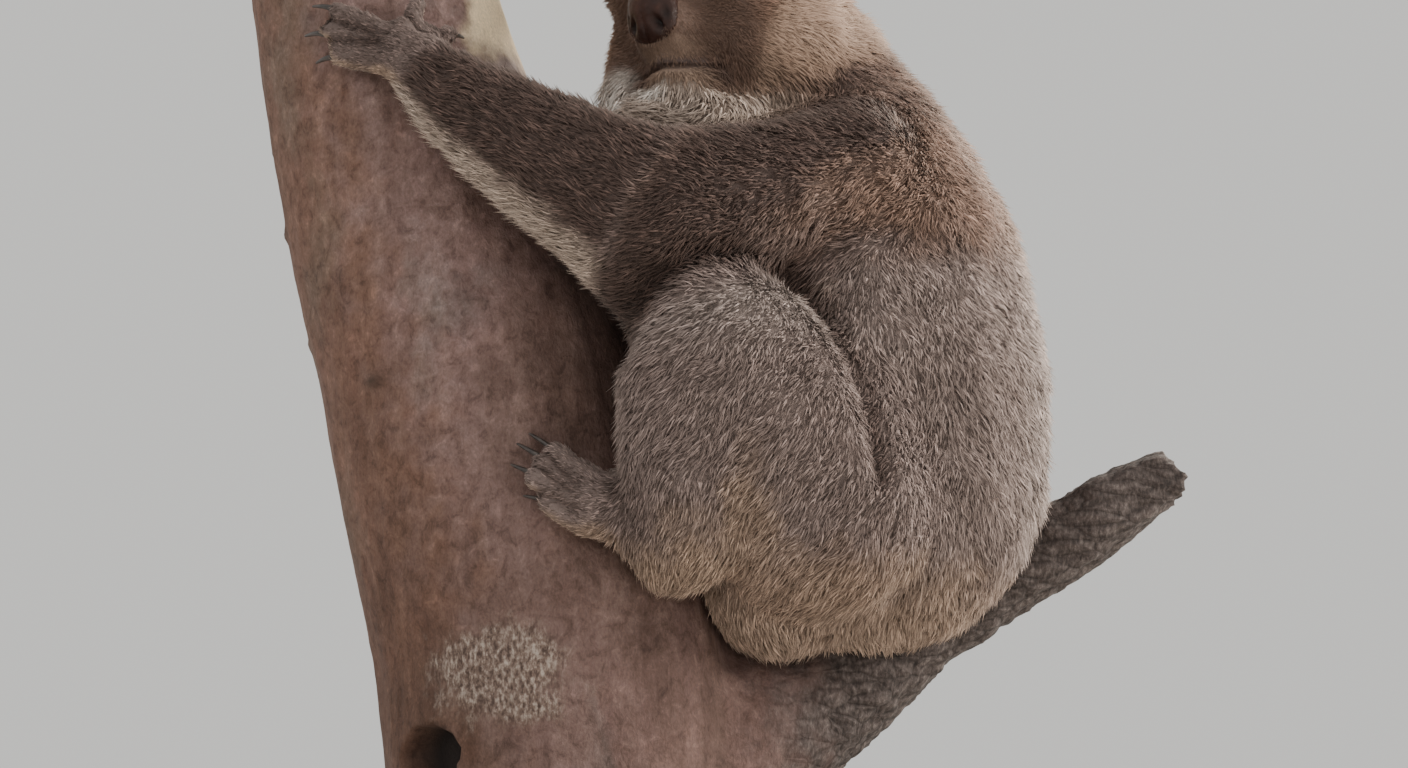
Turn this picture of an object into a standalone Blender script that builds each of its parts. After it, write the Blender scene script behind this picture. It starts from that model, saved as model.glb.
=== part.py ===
"""A life-size koala sitting in the fork of a cut gum-tree trunk, on a plain display stand.

Metres, +Z up. The origin is the middle of the stand's underside. The koala's back is towards +X,
the trunk it hugs is towards -X, and its left side is towards -Y. The body is modelled whole, out to
the tips of its coat, and is then parted with thin cuts into the parts a person would name.
"""

import math

import bmesh
import bpy
from mathutils import Matrix, Vector, noise

GAP = 0.0003  # between solids that touch
LEFT, RIGHT = -1, 1  # the side of the body, as the sign of Y

# Trunk of the tree: stations of (centre x, height, radius) from its lower cut to its upper one.
TRUNK_STATIONS = (
    (-0.076, 0.085, 0.108),
    (-0.082, 0.180, 0.105),
    (-0.096, 0.270, 0.102),
    (-0.126, 0.370, 0.097),
    (-0.162, 0.490, 0.086),
    (-0.195, 0.610, 0.074),
    (-0.220, 0.750, 0.066),
)
LOG_BOTTOM, LOG_TOP = 0.100, 0.735
# Broken side branch: stations of (x, y, z, radius) from inside the trunk to its stub end.
BRANCH_STATIONS = (
    (-0.050, 0.004, 0.130, 0.080),
    (0.012, 0.010, 0.176, 0.062),
    (0.068, 0.014, 0.212, 0.042),
    (0.128, 0.014, 0.251, 0.030),
    (0.190, 0.010, 0.287, 0.0255),
    (0.243, 0.006, 0.320, 0.0235),
    (0.279, 0.004, 0.343, 0.0185),
)

# Stand
BASE_LENGTH, BASE_WIDTH, BASE_THICKNESS = 0.56, 0.34, 0.024
BASE_CORNER, BASE_EDGE = 0.06, 0.004
ROD_RADIUS, ROD_SPACING = 0.011, 0.105

# Body along the spine: stations of (centre, radii) from the rump to the nape.
SPINE_STATIONS = (
    ((0.095, 0.0, 0.330), (0.111, 0.119, 0.107)),
    ((0.099, 0.0, 0.390), (0.109, 0.118, 0.100)),
    ((0.090, 0.0, 0.455), (0.103, 0.110, 0.088)),
    ((0.074, 0.0, 0.508), (0.090, 0.099, 0.074)),
    ((0.056, 0.0, 0.555), (0.073, 0.078, 0.060)),
    ((0.033, -0.010, 0.599), (0.055, 0.063, 0.053)),
)

# Head, in its own axes: forwards, to its left, and up.
HEAD_CENTRE = Vector((0.016, -0.030, 0.624))
HEAD_YAW, HEAD_PITCH = math.radians(40), math.radians(-8)
EYE_PLACE, EYE_RADIUS = (0.0560, 0.0325, 0.012), 0.0088
NOSE_PLACE, NOSE_RADII, NOSE_TILT = (0.0735, 0.0, -0.0155), (0.010, 0.0178, 0.0245), math.radians(-10)
EAR_PLACE, EAR_RADII = (-0.012, 0.076, 0.043), (0.014, 0.039, 0.037)

CLAW_SIDES, CLAW_RINGS, CLAW_FLATNESS = 5, 3, 0.75
BODY_VOXEL, DETAIL_VOXEL = 0.006, 0.0032
BODY_TRIANGLES, LOG_TRIANGLES = 2880, 460
CAP_STEPS, CAP_SIDES = 3, 14
TURNS = [2 * math.pi * k / CAP_SIDES for k in range(CAP_SIDES)]


def trunk_at(height):
    """Centre x and radius of the trunk at a height."""
    for (x0, z0, r0), (x1, z1, r1) in zip(TRUNK_STATIONS, TRUNK_STATIONS[1:]):
        if height <= z1:
            break
    t = (height - z0) / (z1 - z0)
    return x0 + t * (x1 - x0), r0 + t * (r1 - r0)


def round_trunk(degrees, height, lift):
    """A point a given lift above the bark: 0 degrees faces +X and -90 faces -Y."""
    x, radius = trunk_at(height)
    angle = math.radians(degrees)
    return Vector((x + (radius + lift) * math.cos(angle), (radius + lift) * math.sin(angle), height))


def head_axes():
    """The head's own axes, forwards, left and up, as a turning and placing matrix."""
    level = Vector((-math.sin(HEAD_YAW), -math.cos(HEAD_YAW), 0))
    left = Vector((0, 0, 1)).cross(level)
    forward = level * math.cos(HEAD_PITCH) + Vector((0, 0, math.sin(HEAD_PITCH)))
    up = forward.cross(left)
    turn = Matrix((forward, left, up)).transposed().to_4x4()
    return Matrix.Translation(HEAD_CENTRE) @ turn


def ball(shape, centre, radii, axes=None, subdivisions=3):
    """Adds an ellipsoid to a bmesh. Its centre and radii are in the given axes."""
    radii = radii if hasattr(radii, "__len__") else (radii, radii, radii)
    place = (axes or Matrix()) @ Matrix.Translation(centre) @ Matrix.Diagonal((*radii, 1))
    bmesh.ops.create_icosphere(shape, subdivisions=subdivisions, radius=1, matrix=place)


def limb(shape, stations, axes=None, closeness=0.35):
    """Strings balls along a limb, from (centre, radius or radii) to the next."""
    for (start, first), (end, last) in zip(stations, stations[1:]):
        first = Vector(first if hasattr(first, "__len__") else (first,) * 3)
        last = Vector(last if hasattr(last, "__len__") else (last,) * 3)
        start, end = Vector(start), Vector(end)
        steps = max(1, math.ceil((end - start).length / (closeness * min(*first, *last))))
        for i in range(steps + 1):
            t = i / steps
            ball(shape, start.lerp(end, t), first.lerp(last, t), axes, subdivisions=2)


def bridge(shape, rings, first=None, last=None):
    """Joins rings of points into a closed tube. Each end is a flat cap, or a point where one is given."""
    rings = [[shape.verts.new(point) for point in ring] for ring in rings]
    sides = len(rings[0])
    for low, high in zip(rings, rings[1:]):
        for k in range(sides):
            shape.faces.new((low[k], low[(k + 1) % sides], high[(k + 1) % sides], high[k]))
    for ring, point in ((rings[0], first), (rings[-1], last)):
        if point is None:
            shape.faces.new(ring)
            continue
        pole = shape.verts.new(point)
        for k in range(sides):
            shape.faces.new((ring[k], ring[(k + 1) % sides], pole))
    bmesh.ops.recalc_face_normals(shape, faces=shape.faces)


def as_object(name, shape):
    """Makes a bmesh an object and frees it."""
    mesh = bpy.data.meshes.new(name)
    shape.to_mesh(mesh)
    shape.free()
    made = bpy.data.objects.new(name, mesh)
    bpy.context.scene.collection.objects.link(made)
    return made


def settle(made):
    """Applies an object's modifiers."""
    bpy.context.view_layer.update()
    seen = made.evaluated_get(bpy.context.evaluated_depsgraph_get())
    mesh = bpy.data.meshes.new_from_object(seen)
    made.modifiers.clear()
    made.data = mesh
    return made


def melt(made, voxel, smoothing):
    """Melts an object's overlapping shapes into one closed surface and softens its creases."""
    remesh = made.modifiers.new("melt", "REMESH")
    remesh.mode = "VOXEL"
    remesh.voxel_size = voxel
    soften = made.modifiers.new("soften", "SMOOTH")
    soften.factor = 0.5
    soften.iterations = smoothing
    return settle(made)


def thin_out(made, triangles):
    """Brings a mesh down to about a number of triangles."""
    count = sum(len(face.vertices) - 2 for face in made.data.polygons)
    decimate = made.modifiers.new("thin out", "DECIMATE")
    decimate.ratio = min(1.0, triangles / count)
    decimate.use_collapse_triangulate = True
    return settle(made)


def combine(made, other, operation):
    """Applies a Boolean with another object."""
    boolean = made.modifiers.new("boolean", "BOOLEAN")
    boolean.operation = operation
    boolean.solver = "EXACT"
    boolean.object = other
    return settle(made)


def keep_largest(made):
    """Drops the crumbs that a cut leaves, and the sliver faces along it."""
    shape = bmesh.new()
    shape.from_mesh(made.data)
    bmesh.ops.dissolve_degenerate(shape, dist=1e-5, edges=shape.edges)
    unseen = set(shape.verts)
    islands = []
    while unseen:
        island, edge = set(), [unseen.pop()]
        while edge:
            vert = edge.pop()
            island.add(vert)
            for link in vert.link_edges:
                other = link.other_vert(vert)
                if other in unseen:
                    unseen.remove(other)
                    edge.append(other)
        islands.append(island)
    largest = max(islands, key=len)
    crumbs = [vert for island in islands if island is not largest for vert in island]
    bmesh.ops.delete(shape, geom=crumbs, context="VERTS")
    bmesh.ops.triangulate(shape, faces=shape.faces)
    shape.to_mesh(made.data)
    shape.free()
    return made


def copy_of(made, name):
    """A copy with its own mesh."""
    twin = made.copy()
    twin.data = made.data.copy()
    twin.name = name
    bpy.context.scene.collection.objects.link(twin)
    return twin


def discard(*objects):
    for thing in objects:
        bpy.data.objects.remove(thing)


def material(name, colour, roughness, metallic=0.0):
    made = bpy.data.materials.new(name)
    made.use_nodes = True
    shader = made.node_tree.nodes["Principled BSDF"]
    shader.inputs["Base Color"].default_value = (*colour, 1)
    shader.inputs["Roughness"].default_value = roughness
    shader.inputs["Metallic"].default_value = metallic
    return made


def dress(made, finish, crease=40):
    made.data.materials.clear()
    made.data.materials.append(finish)
    made.data.shade_smooth()
    made.data.set_sharp_from_angle(angle=math.radians(crease))
    return made


# ---------------------------------------------------------------- the cut trunk with its broken branch


def loft(shape, centres, radii, sides, lumps):
    """A round-walled tube through the centres, with a low swell and hollow to its skin."""
    rings = []
    for i, (centre, radius) in enumerate(zip(centres, radii)):
        ahead = (centres[min(i + 1, len(centres) - 1)] - centres[max(i - 1, 0)]).normalized()
        side = ahead.cross(Vector((0, 1, 0))).normalized()
        front = side.cross(ahead)
        ring = []
        for k in range(sides):
            angle = 2 * math.pi * k / sides
            out = side * math.cos(angle) + front * math.sin(angle)
            swell = 1 + lumps * noise.noise((centre + out * radius) * 9)
            ring.append(centre + out * radius * swell)
        rings.append(ring)
    bridge(shape, rings)


def smooth_line(points, steps):
    """Points along a smooth curve through the given points, which hold any number of values each."""
    line = []
    ends = [points[0], *points, points[-1]]
    for p0, p1, p2, p3 in zip(ends, ends[1:], ends[2:], ends[3:]):
        for i in range(steps):
            t = i / steps
            weights = (
                -0.5 * t + t * t - 0.5 * t**3,
                1 - 2.5 * t * t + 1.5 * t**3,
                0.5 * t + 2 * t * t - 1.5 * t**3,
                -0.5 * t * t + 0.5 * t**3,
            )
            line.append([sum(w * v for w, v in zip(weights, values)) for values in zip(p0, p1, p2, p3)])
    line.append(list(points[-1]))
    return line


def make_log():
    """The trunk and its branch, melted into one piece of wood and cut flat at both ends."""
    shape = bmesh.new()
    trunk = smooth_line([(x, 0.0, z, r) for x, z, r in TRUNK_STATIONS], 6)
    branch = smooth_line(BRANCH_STATIONS, 6)
    for line, sides, lumps in ((trunk, 36, 0.05), (branch, 20, 0.10)):
        loft(shape, [Vector(p[:3]) for p in line], [p[3] for p in line], sides, lumps)
    log = thin_out(melt(as_object("perch_log", shape), 0.006, 6), LOG_TRIANGLES)
    shape = bmesh.new()
    shape.from_mesh(log.data)
    for height, up in ((LOG_BOTTOM, -1), (LOG_TOP, 1)):
        everything = shape.verts[:] + shape.edges[:] + shape.faces[:]
        bmesh.ops.bisect_plane(
            shape, geom=everything, plane_co=(0, 0, height), plane_no=(0, 0, up), clear_outer=True
        )
        rim = [edge for edge in shape.edges if edge.is_boundary]
        bmesh.ops.edgeloop_fill(shape, edges=rim)
    bmesh.ops.triangulate(shape, faces=shape.faces)
    bmesh.ops.recalc_face_normals(shape, faces=shape.faces)
    shape.to_mesh(log.data)
    shape.free()
    return log


def grown(made, name, by):
    """A copy swollen outwards by a small amount."""
    twin = copy_of(made, name)
    swell = twin.modifiers.new("swell", "DISPLACE")
    swell.strength = by
    swell.mid_level = 0
    return settle(twin)


# ---------------------------------------------------------------- the stand


def make_stand():
    shape = bmesh.new()
    half_x, half_y = BASE_LENGTH / 2 - BASE_CORNER, BASE_WIDTH / 2 - BASE_CORNER
    corner_steps = 6
    outline = []
    for quarter, (x, y) in enumerate(((half_x, half_y), (-half_x, half_y), (-half_x, -half_y), (half_x, -half_y))):
        for i in range(corner_steps + 1):
            angle = math.pi / 2 * (quarter + i / corner_steps)
            place = (x + BASE_CORNER * math.cos(angle), y + BASE_CORNER * math.sin(angle), 0)
            outline.append(shape.verts.new(place))
    underside = shape.faces.new(outline)
    raised = bmesh.ops.extrude_face_region(shape, geom=[underside])["geom"]
    top = [v for v in raised if isinstance(v, bmesh.types.BMVert)]
    bmesh.ops.translate(shape, verts=top, vec=(0, 0, BASE_THICKNESS))
    rim = [edge for edge in shape.edges if all(v in top for v in edge.verts)]
    bmesh.ops.bevel(shape, geom=rim, offset=BASE_EDGE, segments=1, profile=0.5, affect="EDGES")
    bmesh.ops.recalc_face_normals(shape, faces=shape.faces)
    base = as_object("stand_base", shape)
    rods = []
    for name, side in (("stand_rod_front", -1), ("stand_rod_rear", 1)):
        shape = bmesh.new()
        low, high = BASE_THICKNESS + GAP, LOG_BOTTOM - GAP
        centre = Vector((trunk_at(LOG_BOTTOM)[0] + side * ROD_SPACING / 2, 0, (low + high) / 2))
        bmesh.ops.create_cone(
            shape, cap_ends=True, segments=20, radius1=ROD_RADIUS, radius2=ROD_RADIUS,
            depth=high - low, matrix=Matrix.Translation(centre),
        )
        rods.append(as_object(name, shape))
    return base, rods


# ---------------------------------------------------------------- the koala, whole


def arm_stations(side):
    """(centre, radius) along an arm from the shoulder to the wrist."""
    reach = 0.0 if side == LEFT else 0.006
    return (
        ((0.086, side * 0.078, 0.502), 0.042),
        ((0.038, side * 0.104, 0.484), 0.042),
        ((-0.024, side * 0.118, 0.463), 0.056),
        ((-0.054, side * 0.120, 0.480 + reach), 0.046),
        ((-0.100, side * 0.110, 0.509 + reach), 0.038),
        ((-0.146, side * 0.099, 0.543 + reach), 0.027),
        ((-0.158, side * 0.095, 0.556 + reach), 0.020),
    )


def leg_stations(side):
    """(centre, radius) along a leg from the hip over the knee to the ankle."""
    return (
        ((0.066, side * 0.078, 0.312), 0.072),
        ((0.035, side * 0.103, 0.360), 0.066),
        ((0.007, side * 0.115, 0.388), 0.058),
        ((-0.001, side * 0.116, 0.360), 0.051),
        ((-0.004, side * 0.114, 0.325), 0.046),
        ((-0.006, side * 0.104, 0.292), 0.033),
    )


def hand_digits(side):
    """Digits of a hand on the bark, thumbs first: (points from the palm, radii, claw tip)."""
    lift = 0.006 if side == RIGHT else 0.0
    palm = round_trunk(side * 84, 0.568 + lift, 0.013)
    plan = (  # degrees and height of the knuckle, of the tip, then of the claw's point
        (71, 0.577, 60, 0.583, 51, 0.584),
        (78, 0.584, 70, 0.600, 65, 0.608),
        (91, 0.583, 104, 0.596, 117, 0.601),
        (95, 0.574, 110, 0.582, 124, 0.584),
        (94, 0.564, 108, 0.568, 121, 0.567),
    )
    digits = []
    for knuckle, knuckle_z, tip, tip_z, point, point_z in plan:
        line = (
            palm,
            round_trunk(side * knuckle, knuckle_z + lift, 0.012),
            round_trunk(side * tip, tip_z + lift, 0.008),
        )
        digits.append((line, (0.0125, 0.0080, 0.0062), round_trunk(side * point, point_z + lift, 0.0012)))
    return digits


def foot_digits(side):
    """Digits of a foot on the bark, the clawless first toe first."""
    sole = round_trunk(side * 58, 0.304, 0.018)
    plan = (  # degrees and height of the knuckle and the tip, thickness, then the claw's point
        (56, 0.316, 47, 0.328, 1.00, None),
        (68, 0.321, 72, 0.336, 0.85, (78, 0.348)),
        (70, 0.317, 76, 0.331, 0.85, (83, 0.342)),
        (72, 0.310, 79, 0.321, 1.15, (87, 0.330)),
        (70, 0.300, 77, 0.307, 1.10, (86, 0.312)),
    )
    digits = []
    for knuckle, knuckle_z, tip, tip_z, thickness, point in plan:
        line = (
            sole,
            round_trunk(side * knuckle, knuckle_z, 0.014),
            round_trunk(side * tip, tip_z, 0.0095),
        )
        radii = (0.016, 0.0115 * thickness, 0.0088 * thickness)
        claw = round_trunk(side * point[0], point[1], 0.0012) if point else None
        digits.append((line, radii, claw))
    return digits


def make_whole():
    """The koala's furred outline, from ear tips to toes, as one closed surface."""
    shape = bmesh.new()
    limb(shape, SPINE_STATIONS)
    for side in (LEFT, RIGHT):
        limb(shape, arm_stations(side))
        limb(shape, leg_stations(side))
    head = head_axes()
    ball(shape, (-0.004, 0, 0.002), (0.064, 0.067, 0.067), head)
    ball(shape, (-0.006, 0, -0.024), (0.056, 0.068, 0.054), head)
    for side in (-1, 1):
        ball(shape, (0.012, side * 0.036, -0.039), (0.045, 0.039, 0.041), head)
        ball(shape, (0.030, side * 0.029, 0.006), (0.037, 0.035, 0.033), head)
        ball(shape, (0.042, side * 0.036, 0.274), 0.050)
    ball(shape, (-0.006, -0.010, 0.558), (0.050, 0.056, 0.044))
    ball(shape, (0.002, -0.046, 0.533), (0.060, 0.048, 0.026))
    ball(shape, (-0.040, -0.024, 0.560), (0.026, 0.030, 0.024))
    body = melt(as_object("whole", shape), BODY_VOXEL, 9)

    shape = bmesh.new()
    shape.from_mesh(body.data)
    ball(shape, (0.047, 0, -0.029), (0.033, 0.029, 0.028), head)
    ball(shape, (0.044, 0, 0.000), (0.030, 0.022, 0.032), head)
    ball(shape, (0.044, 0, -0.062), (0.030, 0.028, 0.025), head)
    for side in (-1, 1):
        x, y, z = EAR_PLACE
        lean = Matrix.Rotation(side * math.radians(28), 4, "Z") @ Matrix.Rotation(math.radians(-10), 4, "Y")
        ear = head @ Matrix.Translation((x, side * y, z)) @ lean
        ball(shape, (0, 0, 0), EAR_RADII, ear)
    for side in (LEFT, RIGHT):
        wrist, heel = arm_stations(side)[-1], leg_stations(side)[-1]
        digits = hand_digits(side)
        limb(shape, (wrist, (digits[0][0][0], 0.0150)))
        for line, radii, _ in digits:
            limb(shape, tuple(zip(line, radii)))
        digits = foot_digits(side)
        heel_pad = Vector((-0.014, side * 0.096, 0.283))
        limb(shape, (heel, (heel_pad, 0.029), (digits[0][0][0], 0.0200)))
        for line, radii, _ in digits:
            limb(shape, tuple(zip(line, radii)))
    discard(body)
    return thin_out(melt(as_object("whole", shape), DETAIL_VOXEL, 3), BODY_TRIANGLES)


# ---------------------------------------------------------------- parting the koala


def egg(centre, radii, axes=None):
    """A region bounded by an ellipsoid."""

    def build(name, by):
        shape = bmesh.new()
        ball(shape, centre, [r + by for r in radii], axes, subdivisions=2)
        return as_object(name, shape)

    return build


def capsule(start, first, end, last):
    """A region like a rounded cone round two balls, turned about the line through their centres."""
    line = Vector(end) - Vector(start)
    tangent = math.pi / 2 - math.asin((first - last) / line.length)
    place = Matrix.Translation(start) @ line.to_track_quat("Z", "Y").to_matrix().to_4x4()

    def build(name, by):
        profile = []
        for centre, radius, high, low in ((0, first, math.pi, tangent), (line.length, last, tangent, 0)):
            for i in range(CAP_STEPS + 1):
                angle = high + (low - high) * i / CAP_STEPS
                profile.append((centre + (radius + by) * math.cos(angle), (radius + by) * math.sin(angle)))
        poles = [place @ Vector((0, 0, height)) for height, _ in (profile[0], profile[-1])]
        rings = [[place @ Vector((girth * math.cos(turn), girth * math.sin(turn), height)) for turn in TURNS]
                 for height, girth in profile[1:-1]]
        shape = bmesh.new()
        bridge(shape, rings, *poles)
        return as_object(name, shape)

    return build


def beyond(point, towards, width, depth):
    """A square box-shaped region that starts at a plane and runs on in one direction."""

    def build(name, by):
        turn = Vector(towards).to_track_quat("Z", "Y").to_matrix().to_4x4()
        middle = Matrix.Translation((0, 0, depth / 2))
        size = Matrix.Diagonal((width + 2 * by, width + 2 * by, depth + 2 * by, 1))
        shape = bmesh.new()
        bmesh.ops.create_cube(shape, size=1, matrix=Matrix.Translation(point) @ turn @ middle @ size)
        return as_object(name, shape)

    return build


def carve(whole, name, region):
    """Parts what lies in a region from the whole, with a gap, and returns it."""
    inner, outer = region("inner", -GAP / 2), region("outer", GAP / 2)
    piece = combine(copy_of(whole, name), inner, "INTERSECT")
    combine(whole, outer, "DIFFERENCE")
    discard(inner, outer)
    return keep_largest(piece)


def regions():
    """Name and region of each part that comes off the trunk of the body, outermost first."""
    head = head_axes()
    for side, word in ((-1, "right"), (1, "left")):
        x, y, z = EAR_PLACE
        base = head @ Vector((x - 0.002, side * (y - 0.022), z - 0.012))
        out = head.to_3x3() @ Vector((0, side * 0.80, 0.60))
        yield f"ear_{word}", beyond(base, out, 0.12, 0.09)
    yield "head", egg((-0.001, 0, -0.004), (0.094, 0.092, 0.091), head)
    for side, word in ((LEFT, "left"), (RIGHT, "right")):
        arm = [Vector(centre) for centre, _ in arm_stations(side)]
        outwards = Vector((0, side, 0))
        yield f"hand_{word}", beyond(arm[6], arm[6] - arm[5], 0.10, 0.12)
        elbow_front = arm[2].lerp(arm[3], 0.3) + outwards * 0.012
        yield f"forearm_{word}", beyond(elbow_front, arm[4] - arm[2], 0.13, 0.22)
        shoulder, elbow = arm[0] + outwards * 0.016, arm[2] + outwards * 0.010
        yield f"upper_arm_{word}", capsule(shoulder, 0.050, elbow, 0.064)
        yield f"foot_{word}", beyond((-0.052, side * 0.104, 0.318), (-1, 0, 0.05), 0.13, 0.12)
        yield f"shin_{word}", egg((-0.052, side * 0.130, 0.248), (0.092, 0.092, 0.092))
        yield f"thigh_{word}", capsule((0.060, side * 0.118, 0.312), 0.080, (0.002, side * 0.128, 0.386), 0.068)
    yield "neck", egg((0.042, -0.006, 0.592), (0.100, 0.098, 0.060))


# ---------------------------------------------------------------- eyes, nose and claws


def make_eye(name, side, by=0.0):
    shape = bmesh.new()
    x, y, z = EYE_PLACE
    ball(shape, (x, side * y, z), EYE_RADIUS + by, head_axes(), subdivisions=2)
    return as_object(name, shape)


def make_nose(name, by=0.0):
    """A tall leathery pad, broader towards its blunt foot."""
    shape = bmesh.new()
    ball(shape, (0, 0, 0), 1, subdivisions=2)
    depth, width, height = (r + by for r in NOSE_RADII)
    taper, bluntness = 0.16, 3
    for vert in shape.verts:
        x, y, z = vert.co
        round_width = math.sqrt(max(1 - z * z, 1e-6))
        blunt_width = max(1 - abs(z) ** bluntness, 1e-6) ** (1 / bluntness)
        blunt = blunt_width / round_width if -0.98 < z < 0 else 1
        vert.co = (x * depth, y * blunt * width * (1 - taper * z), z * height)
    place = head_axes() @ Matrix.Translation(NOSE_PLACE) @ Matrix.Rotation(NOSE_TILT, 4, "Y")
    bmesh.ops.transform(shape, matrix=place, verts=shape.verts)
    return as_object(name, shape)


def make_claw(name, root, knuckle, point, radius, by=0.0):
    """A claw that leaves the toe along its line and hooks down to its point on the bark."""
    ahead = (root - knuckle).normalized()
    start = root - ahead * 0.004
    reach = (point - start).length
    bend = start + ahead * reach * 0.55 + Vector((0, math.copysign(0.003, root.y), 0))
    rings = []
    for i in range(CLAW_RINGS):
        t = 0.9 * i / (CLAW_RINGS - 1)
        centre = start * (1 - t) ** 2 + bend * 2 * t * (1 - t) + point * t * t
        along = ((bend - start) * (1 - t) + (point - bend) * t).normalized()
        side = along.cross(Vector((0, 0, 1))).normalized()
        over = side.cross(along)
        girth = radius * (1 - 0.85 * t) + by
        ring = []
        for k in range(CLAW_SIDES):
            angle = 2 * math.pi * k / CLAW_SIDES
            out = side * math.cos(angle) * girth + over * math.sin(angle) * girth * CLAW_FLATNESS
            ring.append(centre + out)
        rings.append(ring)
    shape = bmesh.new()
    bridge(shape, rings, None, point)
    bmesh.ops.triangulate(shape, faces=shape.faces)
    return as_object(name, shape)


def seat(holder, builder, *arguments):
    """Sets a separate piece in a socket of its holder, with the gap round it."""
    socket = builder("socket", *arguments, by=GAP)
    combine(holder, socket, "DIFFERENCE")
    discard(socket)


# ---------------------------------------------------------------- assembly

for leftover in list(bpy.data.objects):
    bpy.data.objects.remove(leftover)

FUR = material("coat", (0.22, 0.17, 0.145), 0.9)
BARK = material("bark", (0.25, 0.17, 0.14), 0.85)
HORN = material("claw horn", (0.05, 0.04, 0.035), 0.4)
LEATHER = material("nose leather", (0.02, 0.015, 0.014), 0.5)
EYE = material("eye", (0.03, 0.018, 0.010), 0.1)
BOARD = material("stand board", (0.35, 0.33, 0.30), 0.6)
STEEL = material("stand rod", (0.50, 0.50, 0.50), 0.3, 1.0)

log = make_log()
log_cutter = grown(log, "log cutter", GAP)
stand, rods = make_stand()

whole = make_whole()
parts = {name: carve(whole, name, region) for name, region in regions()}
whole.name = "torso"
parts["torso"] = keep_largest(whole)

claws = []
for side, word in ((LEFT, "left"), (RIGHT, "right")):
    for limb_name, digits, girth in (("hand", hand_digits(side), 0.0032), ("foot", foot_digits(side), 0.0034)):
        for number, (line, _, point) in enumerate(digits, 1):
            if point is None:
                continue
            claw = make_claw(f"claw_{limb_name}_{word}_{number}", line[2], line[1], point, girth)
            seat(parts[f"{limb_name}_{word}"], make_claw, line[2], line[1], point, girth)
            claws.append(claw)

eyes = []
for side, word in ((-1, "right"), (1, "left")):
    eyes.append(make_eye(f"eye_{word}", side))
    seat(parts["head"], make_eye, side)
nose = make_nose("nose")
seat(parts["head"], make_nose)

for name, piece in parts.items():
    if not name.startswith(("ear", "head", "neck")):
        combine(piece, log_cutter, "DIFFERENCE")
    dress(keep_largest(piece), FUR)
for claw in claws:
    dress(keep_largest(combine(claw, log_cutter, "DIFFERENCE")), HORN)
for eye in eyes:
    dress(eye, EYE)
dress(nose, LEATHER)
discard(log_cutter)
dress(log, BARK)
for piece, finish in ((stand, BOARD), (rods[0], STEEL), (rods[1], STEEL)):
    dress(piece, finish, 30)
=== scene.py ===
"""The looks of a life-size koala in the fork of a cut gum-tree trunk, on a plain display stand.

Metres, +Z up. The koala's back is towards +X, the trunk it hugs is towards -X and its left side
is towards -Y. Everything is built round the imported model, whose nodes give each piece its place.
"""

import math

import bpy
import numpy as np
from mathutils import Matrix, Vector, noise
from mathutils.bvhtree import BVHTree


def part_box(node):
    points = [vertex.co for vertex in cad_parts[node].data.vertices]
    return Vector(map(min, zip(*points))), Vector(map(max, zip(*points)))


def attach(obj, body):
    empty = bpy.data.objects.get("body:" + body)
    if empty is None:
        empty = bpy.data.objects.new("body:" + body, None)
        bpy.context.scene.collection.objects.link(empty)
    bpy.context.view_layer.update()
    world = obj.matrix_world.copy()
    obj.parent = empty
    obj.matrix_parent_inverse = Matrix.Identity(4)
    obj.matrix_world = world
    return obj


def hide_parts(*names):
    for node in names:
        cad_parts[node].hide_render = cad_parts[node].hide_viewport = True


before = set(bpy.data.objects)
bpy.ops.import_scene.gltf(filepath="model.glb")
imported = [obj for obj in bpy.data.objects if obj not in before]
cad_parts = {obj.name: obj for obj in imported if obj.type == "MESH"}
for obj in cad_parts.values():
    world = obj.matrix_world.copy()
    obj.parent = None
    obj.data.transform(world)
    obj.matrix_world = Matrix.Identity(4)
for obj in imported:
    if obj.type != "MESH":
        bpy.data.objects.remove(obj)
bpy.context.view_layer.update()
bpy.ops.object.select_all(action="DESELECT")


# -------- camera, light and floor
# A plain studio: a pale floor and surround, a broad soft lamp in front and to the left, and a
# warm low lamp behind on the right that catches the tips of the coat along the back.

LOOKED_AT = Vector((0, 0, 0.391))
CAMERA_DISTANCE = 2.1
CAMERA_LOOKS_UP = math.radians(9)
WIDTH_SEEN = 0.828
SENSOR = 36

line_of_sight = Vector((0, math.cos(CAMERA_LOOKS_UP), math.sin(CAMERA_LOOKS_UP)))
bpy.ops.object.camera_add(
    location=LOOKED_AT - CAMERA_DISTANCE * line_of_sight,
    rotation=(math.pi / 2 + CAMERA_LOOKS_UP, 0, 0),
)
camera = bpy.context.object
camera.data.sensor_width = SENSOR
camera.data.lens = SENSOR * CAMERA_DISTANCE / WIDTH_SEEN
bpy.context.scene.camera = camera


def add_lamp(name, place, aim, size, power, colour):
    """A square soft lamp that faces a point."""
    turn = (Vector(aim) - Vector(place)).to_track_quat("-Z", "Y").to_euler()
    bpy.ops.object.light_add(type="AREA", location=place, rotation=turn)
    lamp = bpy.context.object
    lamp.name = name
    lamp.data.size = size
    lamp.data.energy = power
    lamp.data.color = colour


add_lamp("front lamp", (-0.7, -2.1, 1.5), (0, 0, 0.4), 1.6, 7, (1.0, 0.97, 0.93))
add_lamp("side lamp", (2.1, -0.45, 1.1), (0.05, 0, 0.40), 1.0, 52, (1.0, 0.95, 0.88))
add_lamp("back lamp", (1.3, 1.1, 1.6), (0.05, 0, 0.45), 0.5, 48, (1.0, 0.93, 0.82))

world = bpy.data.worlds.new("pale surround")
world.use_nodes = True
world.node_tree.nodes["Background"].inputs["Color"].default_value = (0.93, 0.92, 0.89, 1)
world.node_tree.nodes["Background"].inputs["Strength"].default_value = 0.82
bpy.context.scene.world = world


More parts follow.
